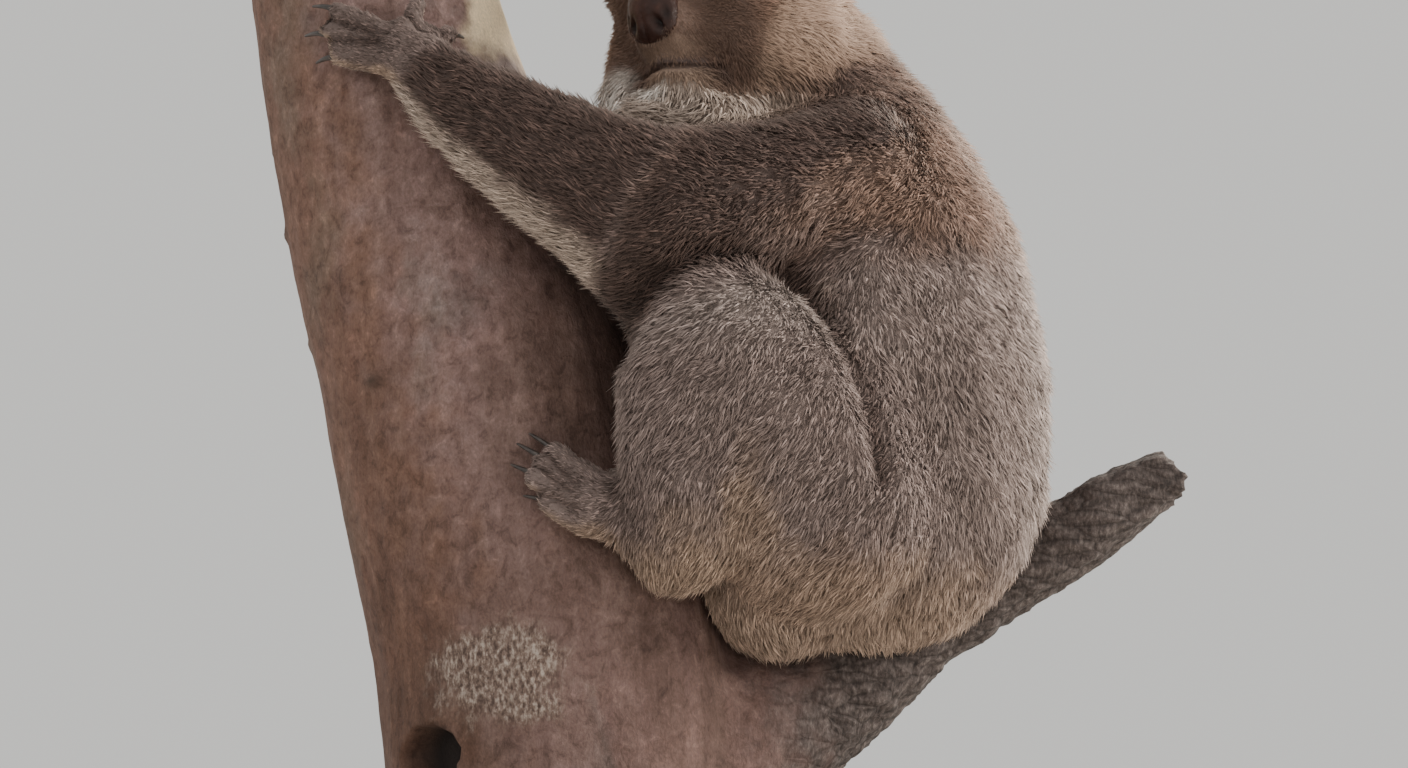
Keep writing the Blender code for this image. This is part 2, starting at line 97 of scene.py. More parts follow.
def plug(tree, socket, value):
    """Sets a socket to a plain value, or links another node's output to it."""
    if isinstance(value, bpy.types.NodeSocket):
        tree.links.new(value, socket)
    else:
        socket.default_value = value


def feed(tree, node, **inputs):
    """Plugs values or outputs into a node's named sockets."""
    for name, value in inputs.items():
        plug(tree, node.inputs[name.replace("_", " ")], value)


def new_material(name, roughness, **constants):
    """A material, its node tree and its shader, with constants set on the shader's own sockets."""
    made = bpy.data.materials.new(name)
    made.use_nodes = True
    shader = made.node_tree.nodes["Principled BSDF"]
    feed(made.node_tree, shader, Roughness=roughness, **constants)
    return made, made.node_tree, shader


def place_node(tree, kind, settings=(), **inputs):
    """Adds a node with its settings, and plugs its named sockets."""
    node = tree.nodes.new(kind)
    for name, value in dict(settings).items():
        setattr(node, name, value)
    feed(tree, node, **inputs)
    return node


def ramp_node(tree, factor, *stops):
    """A colour ramp. A stop is its place and then its colour, or one number for a grey."""
    node = place_node(tree, "ShaderNodeValToRGB", Fac=factor)
    band = node.color_ramp.elements
    while len(band) < len(stops):
        band.new(0.5)
    for element, (place, *colour) in zip(band, stops):
        element.position = place
        element.color = (*(colour if len(colour) == 3 else colour * 3), 1)
    return node.outputs["Color"]


def mix_node(tree, factor, first, second, blend="MIX"):
    """Mixes two colours."""
    node = place_node(tree, "ShaderNodeMix", {"data_type": "RGBA", "blend_type": blend})
    plug(tree, node.inputs[0], factor)
    for key, colour in ((6, first), (7, second)):
        plug(tree, node.inputs[key], (*colour, 1) if isinstance(colour, tuple) else colour)
    return node.outputs[2]


def math_node(tree, operation, *values):
    """Arithmetic on sockets and numbers."""
    node = place_node(tree, "ShaderNodeMath", {"operation": operation})
    for socket, value in zip(node.inputs, values):
        plug(tree, socket, value)
    return node.outputs[0]


def noise_node(tree, vector, scale, detail=4.0, roughness=0.55, distortion=0.0):
    """A noise value over a vector."""
    node = place_node(
        tree, "ShaderNodeTexNoise", Vector=vector, Scale=scale, Detail=detail, Roughness=roughness,
        Distortion=distortion,
    )
    return node.outputs["Fac"]


def stretched(tree, scale=(1, 1, 1), turn=(0, 0, 0)):
    """Object coordinates, scaled and turned."""
    coordinates = tree.nodes.new("ShaderNodeTexCoord").outputs["Object"]
    return place_node(tree, "ShaderNodeMapping", Vector=coordinates, Scale=scale, Rotation=turn).outputs[0]


def bump_node(tree, shader, height, distance, strength=1.0):
    """Feeds a height to the shader's normal."""
    bump = place_node(tree, "ShaderNodeBump", Height=height, Distance=distance, Strength=strength)
    feed(tree, shader, Normal=bump.outputs["Normal"])


floor_paint, tree, shader = new_material("floor paint", 0.7)
speckle = noise_node(tree, stretched(tree), 60)
pale = ramp_node(tree, speckle, (0.3, 0.60, 0.59, 0.57), (0.7, 0.66, 0.65, 0.63))
feed(tree, shader, Base_Color=pale)
bpy.ops.mesh.primitive_plane_add(size=8, location=(0, 0, -0.001))
floor = bpy.context.object
floor.name = "floor"
floor.data.materials.append(floor_paint)


# -------- the cut trunk and its branch
# A short length of smooth-barked gum tree with a broken side branch that the koala sits on.
# The wood is sawn across at both ends, and weather and old wounds have marked its bark. Its colour
# also holds painted light and shade: a painted sunlit strip near the top, painted shade under the
# rump and on the side facing the koala, and it is darker towards the bottom.

KNOT_HOLE = Vector((-0.156, -0.090, 0.169))
SCAR = Vector((-0.116, -0.095, 0.214))
SMALL_KNOT = Vector((-0.187, -0.066, 0.381))
SPOTS = 34
BRANCH_RISE = math.radians(39)
LOG_VOXEL = 0.0033


def only(*pieces):
    """Selects just these pieces, the last of them active."""
    bpy.ops.object.select_all(action="DESELECT")
    for piece in pieces:
        piece.select_set(True)
    bpy.context.view_layer.objects.active = pieces[-1]


def change(piece, kind, **settings):
    """Gives a piece a modifier and applies it."""
    only(piece)
    modifier = piece.modifiers.new(kind.lower(), kind)
    for name, value in settings.items():
        setattr(modifier, name, value)
    bpy.ops.object.modifier_apply(modifier=modifier.name)


def in_edit_mode(piece, step, kind="VERT", chosen=None, **settings):
    """Runs an edit-mode step on all of a piece, or on its chosen points, edges or faces."""
    only(piece)
    bpy.ops.object.mode_set(mode="EDIT")
    bpy.ops.mesh.select_mode(type=kind)
    bpy.ops.mesh.select_all(action="SELECT" if chosen is None else "DESELECT")
    if chosen is not None:
        bpy.ops.object.mode_set(mode="OBJECT")
        mesh = piece.data
        items = {"VERT": mesh.vertices, "EDGE": mesh.edges, "FACE": mesh.polygons}[kind]
        items.foreach_set("select", chosen)
        bpy.ops.object.mode_set(mode="EDIT")
    step(**settings)
    bpy.ops.object.mode_set(mode="OBJECT")


def copy_node(node, name):
    """A copy of a CAD node with its points merged, free of the frame."""
    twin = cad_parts[node].copy()
    twin.data = twin.data.copy()
    twin.name = twin.data.name = name
    twin.parent = None
    for key in list(twin.keys()):
        del twin[key]
    bpy.context.scene.collection.objects.link(twin)
    twin.data.materials.clear()
    in_edit_mode(twin, bpy.ops.mesh.remove_doubles, threshold=1e-5)
    return twin


def numbers(items, name, width=1, kind=np.float32):
    """A property of a mesh's points, edges or faces as an array."""
    found = np.empty(len(items) * width, kind)
    items.foreach_get(name, found)
    return found.reshape(-1, width) if width > 1 else found


def points_of(piece):
    return numbers(piece.data.vertices, "co", 3).astype(float)


def normals_of(piece):
    return numbers(piece.data.vertex_normals, "vector", 3).astype(float)


def move_points(piece, points):
    piece.data.vertices.foreach_set("co", points.astype(np.float32).ravel())
    piece.data.update()


def relax(values, edges, rounds, share=0.5):
    """Smooths what each point of a mesh has, over its edges."""
    count = np.maximum(np.bincount(edges.ravel(), minlength=len(values)), 1)
    for _ in range(rounds):
        near = np.empty_like(values)
        for k in range(values.shape[1]):
            column = values[:, k]
            near[:, k] = np.bincount(edges[:, 0], column[edges[:, 1]], len(values))
            near[:, k] += np.bincount(edges[:, 1], column[edges[:, 0]], len(values))
        values = values + share * (near / count[:, None] - values)
    return values


def edges_of(piece):
    return numbers(piece.data.edges, "vertices", 2, np.int32)


def unit(vectors):
    return vectors / np.maximum(np.linalg.norm(vectors, axis=-1, keepdims=True), 1e-9)


def ease(values, low, high):
    """0 below low, 1 above high, with a smooth step between. High may be the lower."""
    t = np.clip((values - low) / (high - low), 0, 1)
    return t * t * (3 - 2 * t)


def bell(values, width):
    """1 where values are 0, and near 0 two widths away."""
    return np.exp(-((values / width) ** 2))


def hill(points, centre, reach):
    """A bell round a place: 1 there, and near 0 two reaches away."""
    return np.exp(-(((points - np.array(centre)) / np.array(reach)) ** 2).sum(-1))


def rough(points, scale, octaves=3, seed=0.0):
    """Fractal noise at each point, about -1 to 1."""
    scaled = points * np.array(scale) + seed
    return np.array([noise.fractal(Vector(p), 0.8, 2.1, octaves) for p in scaled])


def give(piece, **fields):
    """Gives each point of a piece named values that its material reads."""
    for name, values in fields.items():
        attribute = piece.data.attributes.new(name, "FLOAT", "POINT")
        attribute.data.foreach_set("value", np.asarray(values, np.float32))


log = copy_node("perch_log", "gum_log")
change(log, "REMESH", mode="VOXEL", voxel_size=LOG_VOXEL)
low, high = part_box("perch_log")
bark = points_of(log)
sawn = np.maximum(
    ease(bark[:, 2], low.z + 0.0025, low.z + 0.001),
    ease(bark[:, 2], high.z - 0.0025, high.z - 0.001),
)
bark = relax(bark, edges_of(log), 8, 0.5 * (1 - sawn[:, None]))
move_points(log, bark)
outwards = normals_of(log)
ragged = rough(bark, 60, seed=3.0)
branch = ease(bark[:, 0] + 0.020 * ragged, 0.020, 0.075)
stub = ease(bark[:, 0], high.x - 0.012, high.x - 0.004)
scar = hill(bark, SCAR, (0.050, 0.06, 0.032)) * (1 - branch)
scar = ease(scar + 0.30 * ragged, 0.35, 0.75)
hole = hill(bark, KNOT_HOLE, (0.025, 0.05, 0.021)) + 0.10 * rough(bark, 90, seed=5.0)
hole = ease(hole, 0.42, 0.62)
rim = hill(bark, KNOT_HOLE, (0.040, 0.05, 0.034)) * (1 - hole)
knot = hill(bark, SMALL_KNOT, (0.0055, 0.02, 0.0045))
drawn = np.random.default_rng(4)
for _ in range(SPOTS):
    turn = drawn.uniform(0, 2 * math.pi)
    up = drawn.uniform(low.z, high.z)
    size = drawn.uniform(0.0015, 0.0045)
    axis = bark[np.abs(bark[:, 2] - up) < 0.006].mean(0)
    spot = (min(axis[0], -0.08) + 0.09 * math.cos(turn), 0.09 * math.sin(turn), up)
    across = 1.6 * size + 0.004
    knot = np.maximum(knot, drawn.uniform(0.25, 0.8) * hill(bark, spot, (across, across, size)))
# Darker towards the bottom, a painted shadow under the rump at the fork, and painted shade on the side of
# the trunk that faces the koala.
damp = np.maximum.reduce([
    0.60 * ease(bark[:, 2] + 0.03 * ragged, 0.390, 0.125),
    0.90 * hill(bark + 0.02 * ragged[:, None], (-0.010, -0.050, 0.190), (0.110, 0.12, 0.095)),
    0.50 * ease(outwards[:, 0] + 0.15 * ragged, -0.10, 0.50) * ease(bark[:, 2], 0.585, 0.560),
])
sallow = 0.75 * ease(-outwards[:, 0] + 0.25 * ragged, 0.05, 0.75) * (1 - branch)
# A pale strip near the top of the trunk towards +x: a painted highlight where sunlight falls.
bleached = ease(bark[:, 0] + 0.004 * ragged, -0.142, -0.132)
bleached = 0.95 * bleached * ease(bark[:, 2] + 0.010 * ragged, 0.570, 0.600)
swell = 0.0016 * rough(bark, (9, 9, 6), 3)
furrow = 0.0007 * rough(bark, (75, 75, 16), 3, 7.0)
chips = 0.0026 * np.abs(rough(bark, (120, 120, 100), 3, 1.0))
crust = 0.0026 * rough(bark, (45, 90, 80), 4, 2.0)
height = swell + furrow * (1 - branch) + chips * scar + crust * branch
height += 0.005 * rim - 0.017 * hole + 0.004 * knot - 0.0012
height += 0.004 * stub * rough(bark, 120, 3, 4.0)
move_points(log, bark + outwards * (height * (1 - sawn))[:, None])
give(log, branch=branch, scar=0.9 * scar, hole=hole, sawn=sawn, knot=knot)
give(log, damp=damp, sallow=sallow, bleached=bleached)
in_edit_mode(log, bpy.ops.mesh.quads_convert_to_tris)
log.data.shade_smooth()

bark_finish, tree, shader = new_material("bark", 0.85)


def read(tree, name):
    """What a piece's points were given under a name."""
    return place_node(tree, "ShaderNodeAttribute", {"attribute_name": name}).outputs["Fac"]


broad = noise_node(tree, stretched(tree, (7, 7, 3.5)), 1.0, 5, 0.6, 0.6)
streaks = noise_node(tree, stretched(tree, (60, 60, 9)), 1.0, 6, 0.6, 0.4)
grain = noise_node(tree, stretched(tree, (420, 420, 220)), 1.0, 4, 0.65)
mottle = noise_node(tree, stretched(tree, (130, 130, 110)), 1.0, 5, 0.7, 0.5)
flecks = noise_node(tree, stretched(tree, (900, 900, 500)), 1.0, 3, 0.6)
smooth_bark = ramp_node(
    tree, broad, (0.30, 0.150, 0.088, 0.067), (0.42, 0.218, 0.133, 0.113), (0.52, 0.275, 0.174, 0.158),
    (0.60, 0.238, 0.190, 0.178), (0.72, 0.335, 0.258, 0.232),
)
streaked = ramp_node(tree, streaks, (0.35, 0.100, 0.067, 0.056), (0.65, 0.300, 0.213, 0.186))
streaked = mix_node(tree, math_node(tree, "MULTIPLY", streaks, 0.75), smooth_bark, streaked)
blots = noise_node(tree, stretched(tree, (24, 24, 34)), 1.0, 7, 0.70, 0.3)
blotted = ramp_node(
    tree, blots, (0.30, 0.66, 0.60, 0.57), (0.47, 0.97, 0.96, 0.96), (0.56, 1.02, 1.0, 1.0),
    (0.70, 1.26, 1.25, 1.24),
)
mottled = ramp_node(
    tree, mottle, (0.34, 0.58, 0.53, 0.51), (0.48, 0.97, 0.94, 0.93), (0.58, 1.09, 1.10, 1.12),
    (0.68, 1.50, 1.52, 1.55),
)
for share, stain in ((0.85, blotted), (0.95, mottled), (read(tree, "sallow"), (0.76, 0.60, 0.42))):
    streaked = mix_node(tree, share, streaked, stain, "MULTIPLY")
# Painted highlight: the pale sunlit strip near the top of the trunk.
streaked = mix_node(tree, read(tree, "bleached"), streaked, (0.98, 0.78, 0.51))
# Darker towards the bottom, and painted shade under the rump and on the side facing the koala.
streaked = mix_node(tree, read(tree, "damp"), streaked, (0.52, 0.46, 0.42), "MULTIPLY")
chipped = ramp_node(
    tree, grain, (0.36, 0.070, 0.045, 0.036), (0.50, 0.215, 0.150, 0.120), (0.66, 0.50, 0.42, 0.36),
)
old_bark = ramp_node(
    tree, grain, (0.30, 0.028, 0.020, 0.017), (0.50, 0.080, 0.060, 0.054), (0.72, 0.175, 0.143, 0.130),
)
cracks = place_node(
    tree, "ShaderNodeTexVoronoi", {"feature": "DISTANCE_TO_EDGE"},
    Vector=stretched(tree, (34, 120, 120), (0, BRANCH_RISE, 0)), Scale=1.0,
).outputs["Distance"]
fissured = ramp_node(
    tree, cracks, (0.02, 0.42, 0.38, 0.36), (0.16, 0.95), (0.5, 1.12, 1.11, 1.10),
)
old_bark = mix_node(tree, 0.75, old_bark, fissured, "MULTIPLY")
colour = streaked
for mark, paint in (
    ("scar", chipped), ("branch", old_bark),
    ("knot", (0.060, 0.036, 0.026)), ("hole", (0.018, 0.011, 0.009)),
):
    colour = mix_node(tree, read(tree, mark), colour, paint)
speckled = ramp_node(
    tree, flecks, (0.30, 0.72, 0.70, 0.69), (0.55, 1), (0.74, 1.22, 1.20, 1.18),
)
colour = mix_node(tree, 0.8, colour, speckled, "MULTIPLY")
# The heart of the leaning trunk, where the rings are centred, moves towards -X with height.
place = place_node(tree, "ShaderNodeSeparateXYZ", Vector=stretched(tree)).outputs
heart = math_node(tree, "ADD", math_node(tree, "MULTIPLY", place["Z"], 0.228), 0.055)
from_heart = math_node(tree, "ADD", place["X"], heart)
rings = place_node(
    tree, "ShaderNodeTexWave", {"wave_type": "RINGS", "rings_direction": "Z"},
    Vector=place_node(tree, "ShaderNodeCombineXYZ", X=from_heart, Y=place["Y"]).outputs[0],
    Scale=75.0, Distortion=3.0, Detail=3.0, Detail_Scale=0.6,
).outputs["Fac"]
end_grain = ramp_node(tree, rings, (0.15, 0.36, 0.22, 0.135), (0.80, 0.56, 0.39, 0.26))
colour = mix_node(tree, read(tree, "sawn"), colour, end_grain)
feed(tree, shader, Base_Color=colour)
ridges = math_node(tree, "MULTIPLY", math_node(tree, "MINIMUM", cracks, 0.30), read(tree, "branch"))
relief = math_node(tree, "MULTIPLY", streaks, 0.6)
for part, share in ((grain, 0.6), (mottle, 0.9), (ridges, 5.0)):
    relief = math_node(tree, "ADD", relief, math_node(tree, "MULTIPLY", part, share))
bump_node(tree, shader, relief, 0.0016, 0.7)
log.data.materials.append(bark_finish)
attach(log, "root")
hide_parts("perch_log")


# -------- the skin
# One whole hide under the coat, from the parts of the body joined without a seam and drawn in
# by the coat's depth. Its lids, lips and ears, and the gaps between its digits, are shaped here.

APART = ("perch", "stand", "claw", "eye", "nose")
FLESH = sorted(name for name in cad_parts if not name.startswith(APART))
SKIN_VOXEL, SKIN_TRIANGLES = 0.0028, 190000
EYE_FORWARD, EYE_UP = 0.0560, 0.012
HEAD_PITCH = math.radians(-8)
EYE_RADIUS, LID = 0.0088, 0.0011
MOUTH_UP, MOUTH_SLOPE, MOUTH_HALF = -0.0515, 0.12, 0.028
# The fold round the thigh, in x and z, from under the elbow over the knee and down the flank,
# and the slack fold between shoulder and rump.
THIGH_FOLD = (
    (-0.046, 0.390), (-0.033, 0.418), (-0.007, 0.437), (0.030, 0.442), (0.058, 0.432), (0.070, 0.409),
    (0.084, 0.385), (0.093, 0.356), (0.099, 0.318),
)
BACK_FOLD = ((0.040, 0.452), (0.100, 0.462), (0.170, 0.456))
THIGH_MIDDLE = (0.025, 0.355)


def middle(node):
    low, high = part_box(node)
    return (low + high) / 2


def kind_of(node):
    return node.removesuffix("_left").removesuffix("_right")


eye_left, eye_right = middle("eye_left"), middle("eye_right")
HEAD_LEFT = (eye_left - eye_right).normalized()
level = HEAD_LEFT.cross(Vector((0, 0, 1)))
HEAD_FORWARD = level * math.cos(HEAD_PITCH) + Vector((0, 0, math.sin(HEAD_PITCH)))
HEAD_UP = HEAD_FORWARD.cross(HEAD_LEFT)
HEAD_AXES = np.array((HEAD_FORWARD, HEAD_LEFT, HEAD_UP))
HEAD_CENTRE = np.array((eye_left + eye_right) / 2 - HEAD_FORWARD * EYE_FORWARD - HEAD_UP * EYE_UP)


def off_bark(points):
    """How far points are from the trunk and its branch."""
    return np.array([log_tree.find_nearest(point)[3] for point in points.tolist()])


def in_head(points):
    """Places as seen from the middle of the head: forwards, to its left, and up."""
    return (points - HEAD_CENTRE) @ HEAD_AXES.T


def ear_axes(side):
    """An ear's middle, and its own axes: forwards through it, outwards, and along its rim."""
    points = points_of(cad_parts[f"ear_{side}"])
    centre = points.mean(0)
    thin = np.linalg.eigh(np.cov((points - centre).T))[1][:, 0]
    thin = thin * np.sign(thin @ np.array(HEAD_FORWARD))
    out = centre - (HEAD_CENTRE + 0.02 * np.array(HEAD_UP))
    out = unit(out - thin * (out @ thin))
    return centre, thin, out, np.cross(thin, out)


KINDS = sorted({kind_of(name) for name in FLESH})
body_faces, owner, body_points = [], [], []
for name in FLESH:
    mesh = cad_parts[name].data
    start = len(body_points)
    body_points += [vert.co.copy() for vert in mesh.vertices]
    body_faces += [[start + k for k in face.vertices] for face in mesh.polygons]
    owner += [KINDS.index(kind_of(name))] * len(mesh.polygons)
body_tree = BVHTree.FromPolygons(body_points, body_faces)
log_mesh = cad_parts["perch_log"].data
log_tree = BVHTree.FromPolygons([v.co for v in log_mesh.vertices], [f.vertices for f in log_mesh.polygons])

flesh = []
for name in FLESH + ["eye_left", "eye_right", "nose"]:
    part = copy_node(name, "flesh_" + name)
    change(part, "DISPLACE", strength=0.0004, mid_level=0.0)
    flesh.append(part)
only(*flesh)
bpy.ops.object.join()
skin = bpy.context.object
skin.name = skin.data.name = "skin"
change(skin, "REMESH", mode="VOXEL", voxel_size=SKIN_VOXEL)


def largest_only(piece):
    """Drops all but the largest closed surface of a piece."""
    edges = edges_of(piece)
    label = np.arange(len(piece.data.vertices))
    while True:
        least = label.copy()
        np.minimum.at(least, edges[:, 0], label[edges[:, 1]])
        np.minimum.at(least, edges[:, 1], label[edges[:, 0]])
        least = least[least]
        if (least == label).all():
            break
        label = least
    main = np.bincount(label).argmax()
    in_edit_mode(piece, bpy.ops.mesh.delete, "VERT", label != main, type="VERT")


largest_only(skin)

# The coat over each region of the hide: the length, lift and width of its tufts in metres and
# degrees, and how densely they stand. A tuft bends over by twice its curl at mid-length.
REGION_COAT = {
    "torso": (0.0108, 36, 0.00085, 1.0),
    "neck": (0.0118, 38, 0.00085, 1.0),
    "head": (0.0078, 33, 0.00072, 1.7),
    "ear": (0.0088, 30, 0.00075, 2.2),
    "upper_arm": (0.0102, 35, 0.00082, 1.1),
    "forearm": (0.0090, 33, 0.00080, 1.2),
    "hand": (0.0040, 26, 0.00070, 3.0),
    "thigh": (0.0102, 37, 0.00085, 1.05),
    "shin": (0.0092, 35, 0.00082, 1.15),
    "foot": (0.0043, 26, 0.00072, 2.8),
}
FACE_TRIM = 0.66
KNUCKLES_AT, GAP_WIDTH = 0.40, 0.0030
CURL = math.radians(15)
BEND_SHARE = 0.46
ROOT_DEPTH = 0.0010


def coat_of(shares):
    """The length, lift, width and density of the coat at each point, by its regions."""
    return (shares @ np.array([REGION_COAT[kind] for kind in KINDS])).T


def shortness(face, shares):
    """How short the coat is kept round the nose, the mouth and the eyes."""
    head = share_of(shares, "head")
    near = hill(face, (0.070, 0, -0.022), (0.030, 0.036, 0.040))
    for place in eye_places:
        near = np.maximum(near, 0.85 * hill(face, place, 0.017))
    return near * head


def shares_of(points, edges, rounds):
    """How far each point belongs to each region of the body, softly across their borders."""
    shares = np.zeros((len(points), len(KINDS)))
    nearest = [owner[body_tree.find_nearest(point)[2]] for point in points.tolist()]
    shares[np.arange(len(points)), nearest] = 1
    return relax(shares, edges, rounds)


def share_of(shares, *kinds):
    """The share of a point in regions of some kinds."""
    return sum(shares[:, KINDS.index(kind)] for kind in kinds)


def on_side(points, side):
    """1 for points on the left or the right of the head's middle, 0 for the others."""
    return in_head(points)[:, 1] * (1 if side == "left" else -1) > 0


def off_line(points, line):
    """How far points are from a line drawn in x and z on both sides of the body."""
    flat = points[:, [0, 2]]
    nearest = np.full(len(points), 1.0)
    for start, end in zip(np.array(line), np.array(line)[1:]):
        along = np.clip((flat - start) @ (end - start) / ((end - start) ** 2).sum(), 0, 1)
        nearest = np.minimum(nearest, np.linalg.norm(flat - start - along[:, None] * (end - start), axis=1))
    return nearest


def between_digits(points, shares):
    """How near points of the hands and feet are to the gap between two digits."""
    gap = np.zeros(len(points))
    for paw, limb in (("hand", "forearm"), ("foot", "shin")):
        for word, side in (("left", -1), ("right", 1)):
            spots = points_of(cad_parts[f"{paw}_{word}"])
            limb_middle = np.array(middle(f"{limb}_{word}"))
            wrist = spots[np.linalg.norm(spots - limb_middle, axis=1).argsort()[:40]].mean(0)
            inside = np.flatnonzero((share_of(shares, paw) > 0.3) & (points[:, 1] * side > 0))
            local = points[inside]
            away, reached = [], []
            for claw in sorted(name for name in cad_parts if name.startswith(f"claw_{paw}_{word}")):
                horn_points = points_of(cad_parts[claw])
                root = horn_points[np.linalg.norm(horn_points - wrist, axis=1).argsort()[:5]].mean(0)
                start = wrist + KNUCKLES_AT * (root - wrist)
                end = wrist + 1.25 * (root - wrist)
                along = (local - start) @ (end - start) / ((end - start) ** 2).sum()
                closest = start + np.clip(along, 0, 1)[:, None] * (end - start)
                away.append(np.linalg.norm(local - closest, axis=1))
                reached.append(along)
            away, reached = np.array(away), np.array(reached)
            order = away.argsort(0)
            first = np.take_along_axis(away, order, 0)
            along = np.take_along_axis(reached, order, 0)[:2].max(0)
            valley = bell(first[1] - first[0], GAP_WIDTH) * ease(along, 0.02, 0.30)
            gap[inside] = np.maximum(gap[inside], valley)
    return gap * share_of(shares, "hand", "foot")


hide = points_of(skin)
edges = edges_of(skin)
shares = shares_of(hide, edges, 10)
fine = share_of(shares, "hand", "foot", "ear")
face = in_head(hide)
eye_places = [in_head(np.array(eye)) for eye in (eye_left, eye_right)]
fine = np.clip(fine + 0.7 * share_of(shares, "head"), 0, 1)
hide = relax(hide, edges, 12, 0.5 * (1 - 0.85 * fine)[:, None])
move_points(skin, hide)
outwards = unit(relax(normals_of(skin), edges, 6))
folds = ((relax(hide, edges, 90) - hide) * outwards).sum(1)
clefts = ((relax(hide, edges, 14) - hide) * outwards).sum(1)
clefts = np.clip(clefts, 0, 0.002) * share_of(shares, "hand", "foot")
length, lift, width, density = coat_of(shares)
length = length * (1 - FACE_TRIM * shortness(face, shares))
lift = np.radians(lift)
depth = length * (BEND_SHARE * np.sin(lift + CURL) + (1 - BEND_SHARE) * np.sin(lift - CURL)) - ROOT_DEPTH
gaps = between_digits(hide, shares)
beside_body = ease(np.abs(hide[:, 1]), 0.060, 0.090)
thigh_fold = off_line(hide, THIGH_FOLD)
rounded = ease(thigh_fold, 0.030, 0.012) * ease(thigh_fold, 0.004, 0.012)
depth = depth + 0.9 * np.clip(folds, 0, 0.006) * (1 - fine) + 1.2 * clefts + 0.0036 * gaps
depth = depth + beside_body * (0.0060 * bell(thigh_fold, 0.0065) - 0.0012 * rounded)
depth = depth + beside_body * 0.0030 * bell(off_line(hide, BACK_FOLD), 0.011)
clear = off_bark(hide)
depth = depth * (0.10 + 0.90 * ease(clear, 0.0008, 0.0080))
hide = hide - outwards * depth[:, None]
hide = relax(hide, edges, 3, 0.5 * (1 - 0.8 * fine)[:, None])

for side in ("left", "right"):
    centre, thin, out, across = ear_axes(side)
    share = (share_of(shares, "ear") * on_side(hide, side))[:, None]
    root = centre - out * 0.024
    local = (hide - root) @ np.array((thin, out, across)).T
    local *= (0.55, 0.70, 0.74)
    reach = np.clip((local[:, 1] ** 2 + local[:, 2] ** 2) / 0.030**2, 0, 2)
    local[:, 0] += 0.0055 * reach - 0.004
    hide = hide + share * (root + local @ np.array((thin, out, across)) - hide)
move_points(skin, hide)


def eye_gaze(side):
    """The way an eye looks, and the ways across and up it, in the head's own axes."""
    gaze = unit(np.array((0.80, side * 0.60, 0.02)))
    aside = unit(np.cross((0, 0, 1), gaze))
    return gaze, aside, np.cross(gaze, aside)


def over_lips(face):
    """How far points are above the line of the mouth, which falls to both its corners."""
    return face[:, 2] - (MOUTH_UP - MOUTH_SLOPE * np.abs(face[:, 1]))


nose_middle = in_head(np.array(middle("nose")))


def under_pad(face, half_width, half_height, outer, inner):
    """How surely points lie under the nose pad, taken as an oval."""
    across, tall = (face[:, 1] - nose_middle[1]) / half_width, (face[:, 2] - nose_middle[2]) / half_height
    return ease(np.hypot(across, tall), outer, inner) * ease(face[:, 0], 0.050, 0.060)


def refine(piece, chosen):
    """Splits the faces at the chosen points into smaller ones."""
    only(piece)
    piece.data.vertices.foreach_set("select", chosen)
    bpy.ops.object.mode_set(mode="EDIT")
    bpy.ops.mesh.subdivide(number_cuts=1, smoothness=0.0)
    bpy.ops.object.mode_set(mode="OBJECT")


face = in_head(points_of(skin))
near_face = (face[:, 0] > 0.018) & (np.abs(face[:, 1]) < 0.052)
refine(skin, near_face & (face[:, 2] > -0.085) & (face[:, 2] < 0.040))
face = in_head(points_of(skin))
near_lids = np.zeros(len(face), bool)
for place in eye_places:
    near_lids |= np.linalg.norm(face - place, axis=1) < 0.017
near_mouth = (face[:, 0] > 0.035) & (np.abs(face[:, 1]) < 0.036)
refine(skin, near_lids | near_mouth & (np.abs(face[:, 2] + 0.054) < 0.014))

hide = points_of(skin)
edges = edges_of(skin)
face = in_head(hide)
lids = np.zeros(len(hide))
for place, side in zip(eye_places, (1, -1)):
    gaze, aside, over = eye_gaze(side)
    away = face - place
    beside, above, ahead = away @ aside, away @ over, away @ gaze
    above = above + 0.10 * side * beside
    reach = np.hypot(beside / 0.0074, above / 0.0056)
    from_axis = np.hypot(beside, above)
    ball = np.sqrt(np.maximum(EYE_RADIUS**2 - from_axis**2, 0))
    lid = np.sqrt(np.maximum((EYE_RADIUS + LID) ** 2 - from_axis**2, 0))
    height = ball - 0.0030 + (lid - ball + 0.0030) * ease(reach, 0.90, 1.02)
    share = ease(reach, 2.5, 1.35) * ease(ahead, -0.012, -0.006) * (from_axis < 0.024)
    face = face + gaze * (share * (height - ahead))[:, None]
    lids = np.maximum(lids, share * ease(reach, 1.75, 1.25))
in_front = ease(face[:, 0], 0.028, 0.045) * ease(np.abs(face[:, 1]), MOUTH_HALF + 0.006, MOUTH_HALF - 0.004)
groove = in_front * bell(over_lips(face), 0.0014)
cleft = bell(face[:, 1], 0.0010) * ease(face[:, 2], MOUTH_UP - 0.001, MOUTH_UP + 0.001)
cleft *= ease(face[:, 2], -0.040, -0.044) * ease(face[:, 0], 0.05, 0.06)
lips = in_front * bell(over_lips(face), 0.0050)
under_nose = under_pad(face, 0.0165, 0.0225, 1.02, 0.84)
face[:, 0] += 0.0012 * lips - 0.0042 * groove - 0.0012 * cleft - 0.0080 * under_nose
hide = HEAD_CENTRE + face @ HEAD_AXES
move_points(skin, hide)
give(skin, lids=lids)
in_edit_mode(skin, bpy.ops.mesh.quads_convert_to_tris)
change(skin, "DECIMATE", ratio=SKIN_TRIANGLES / len(skin.data.polygons))
lids = numbers(skin.data.attributes["lids"].data, "value")
skin.data.shade_smooth()


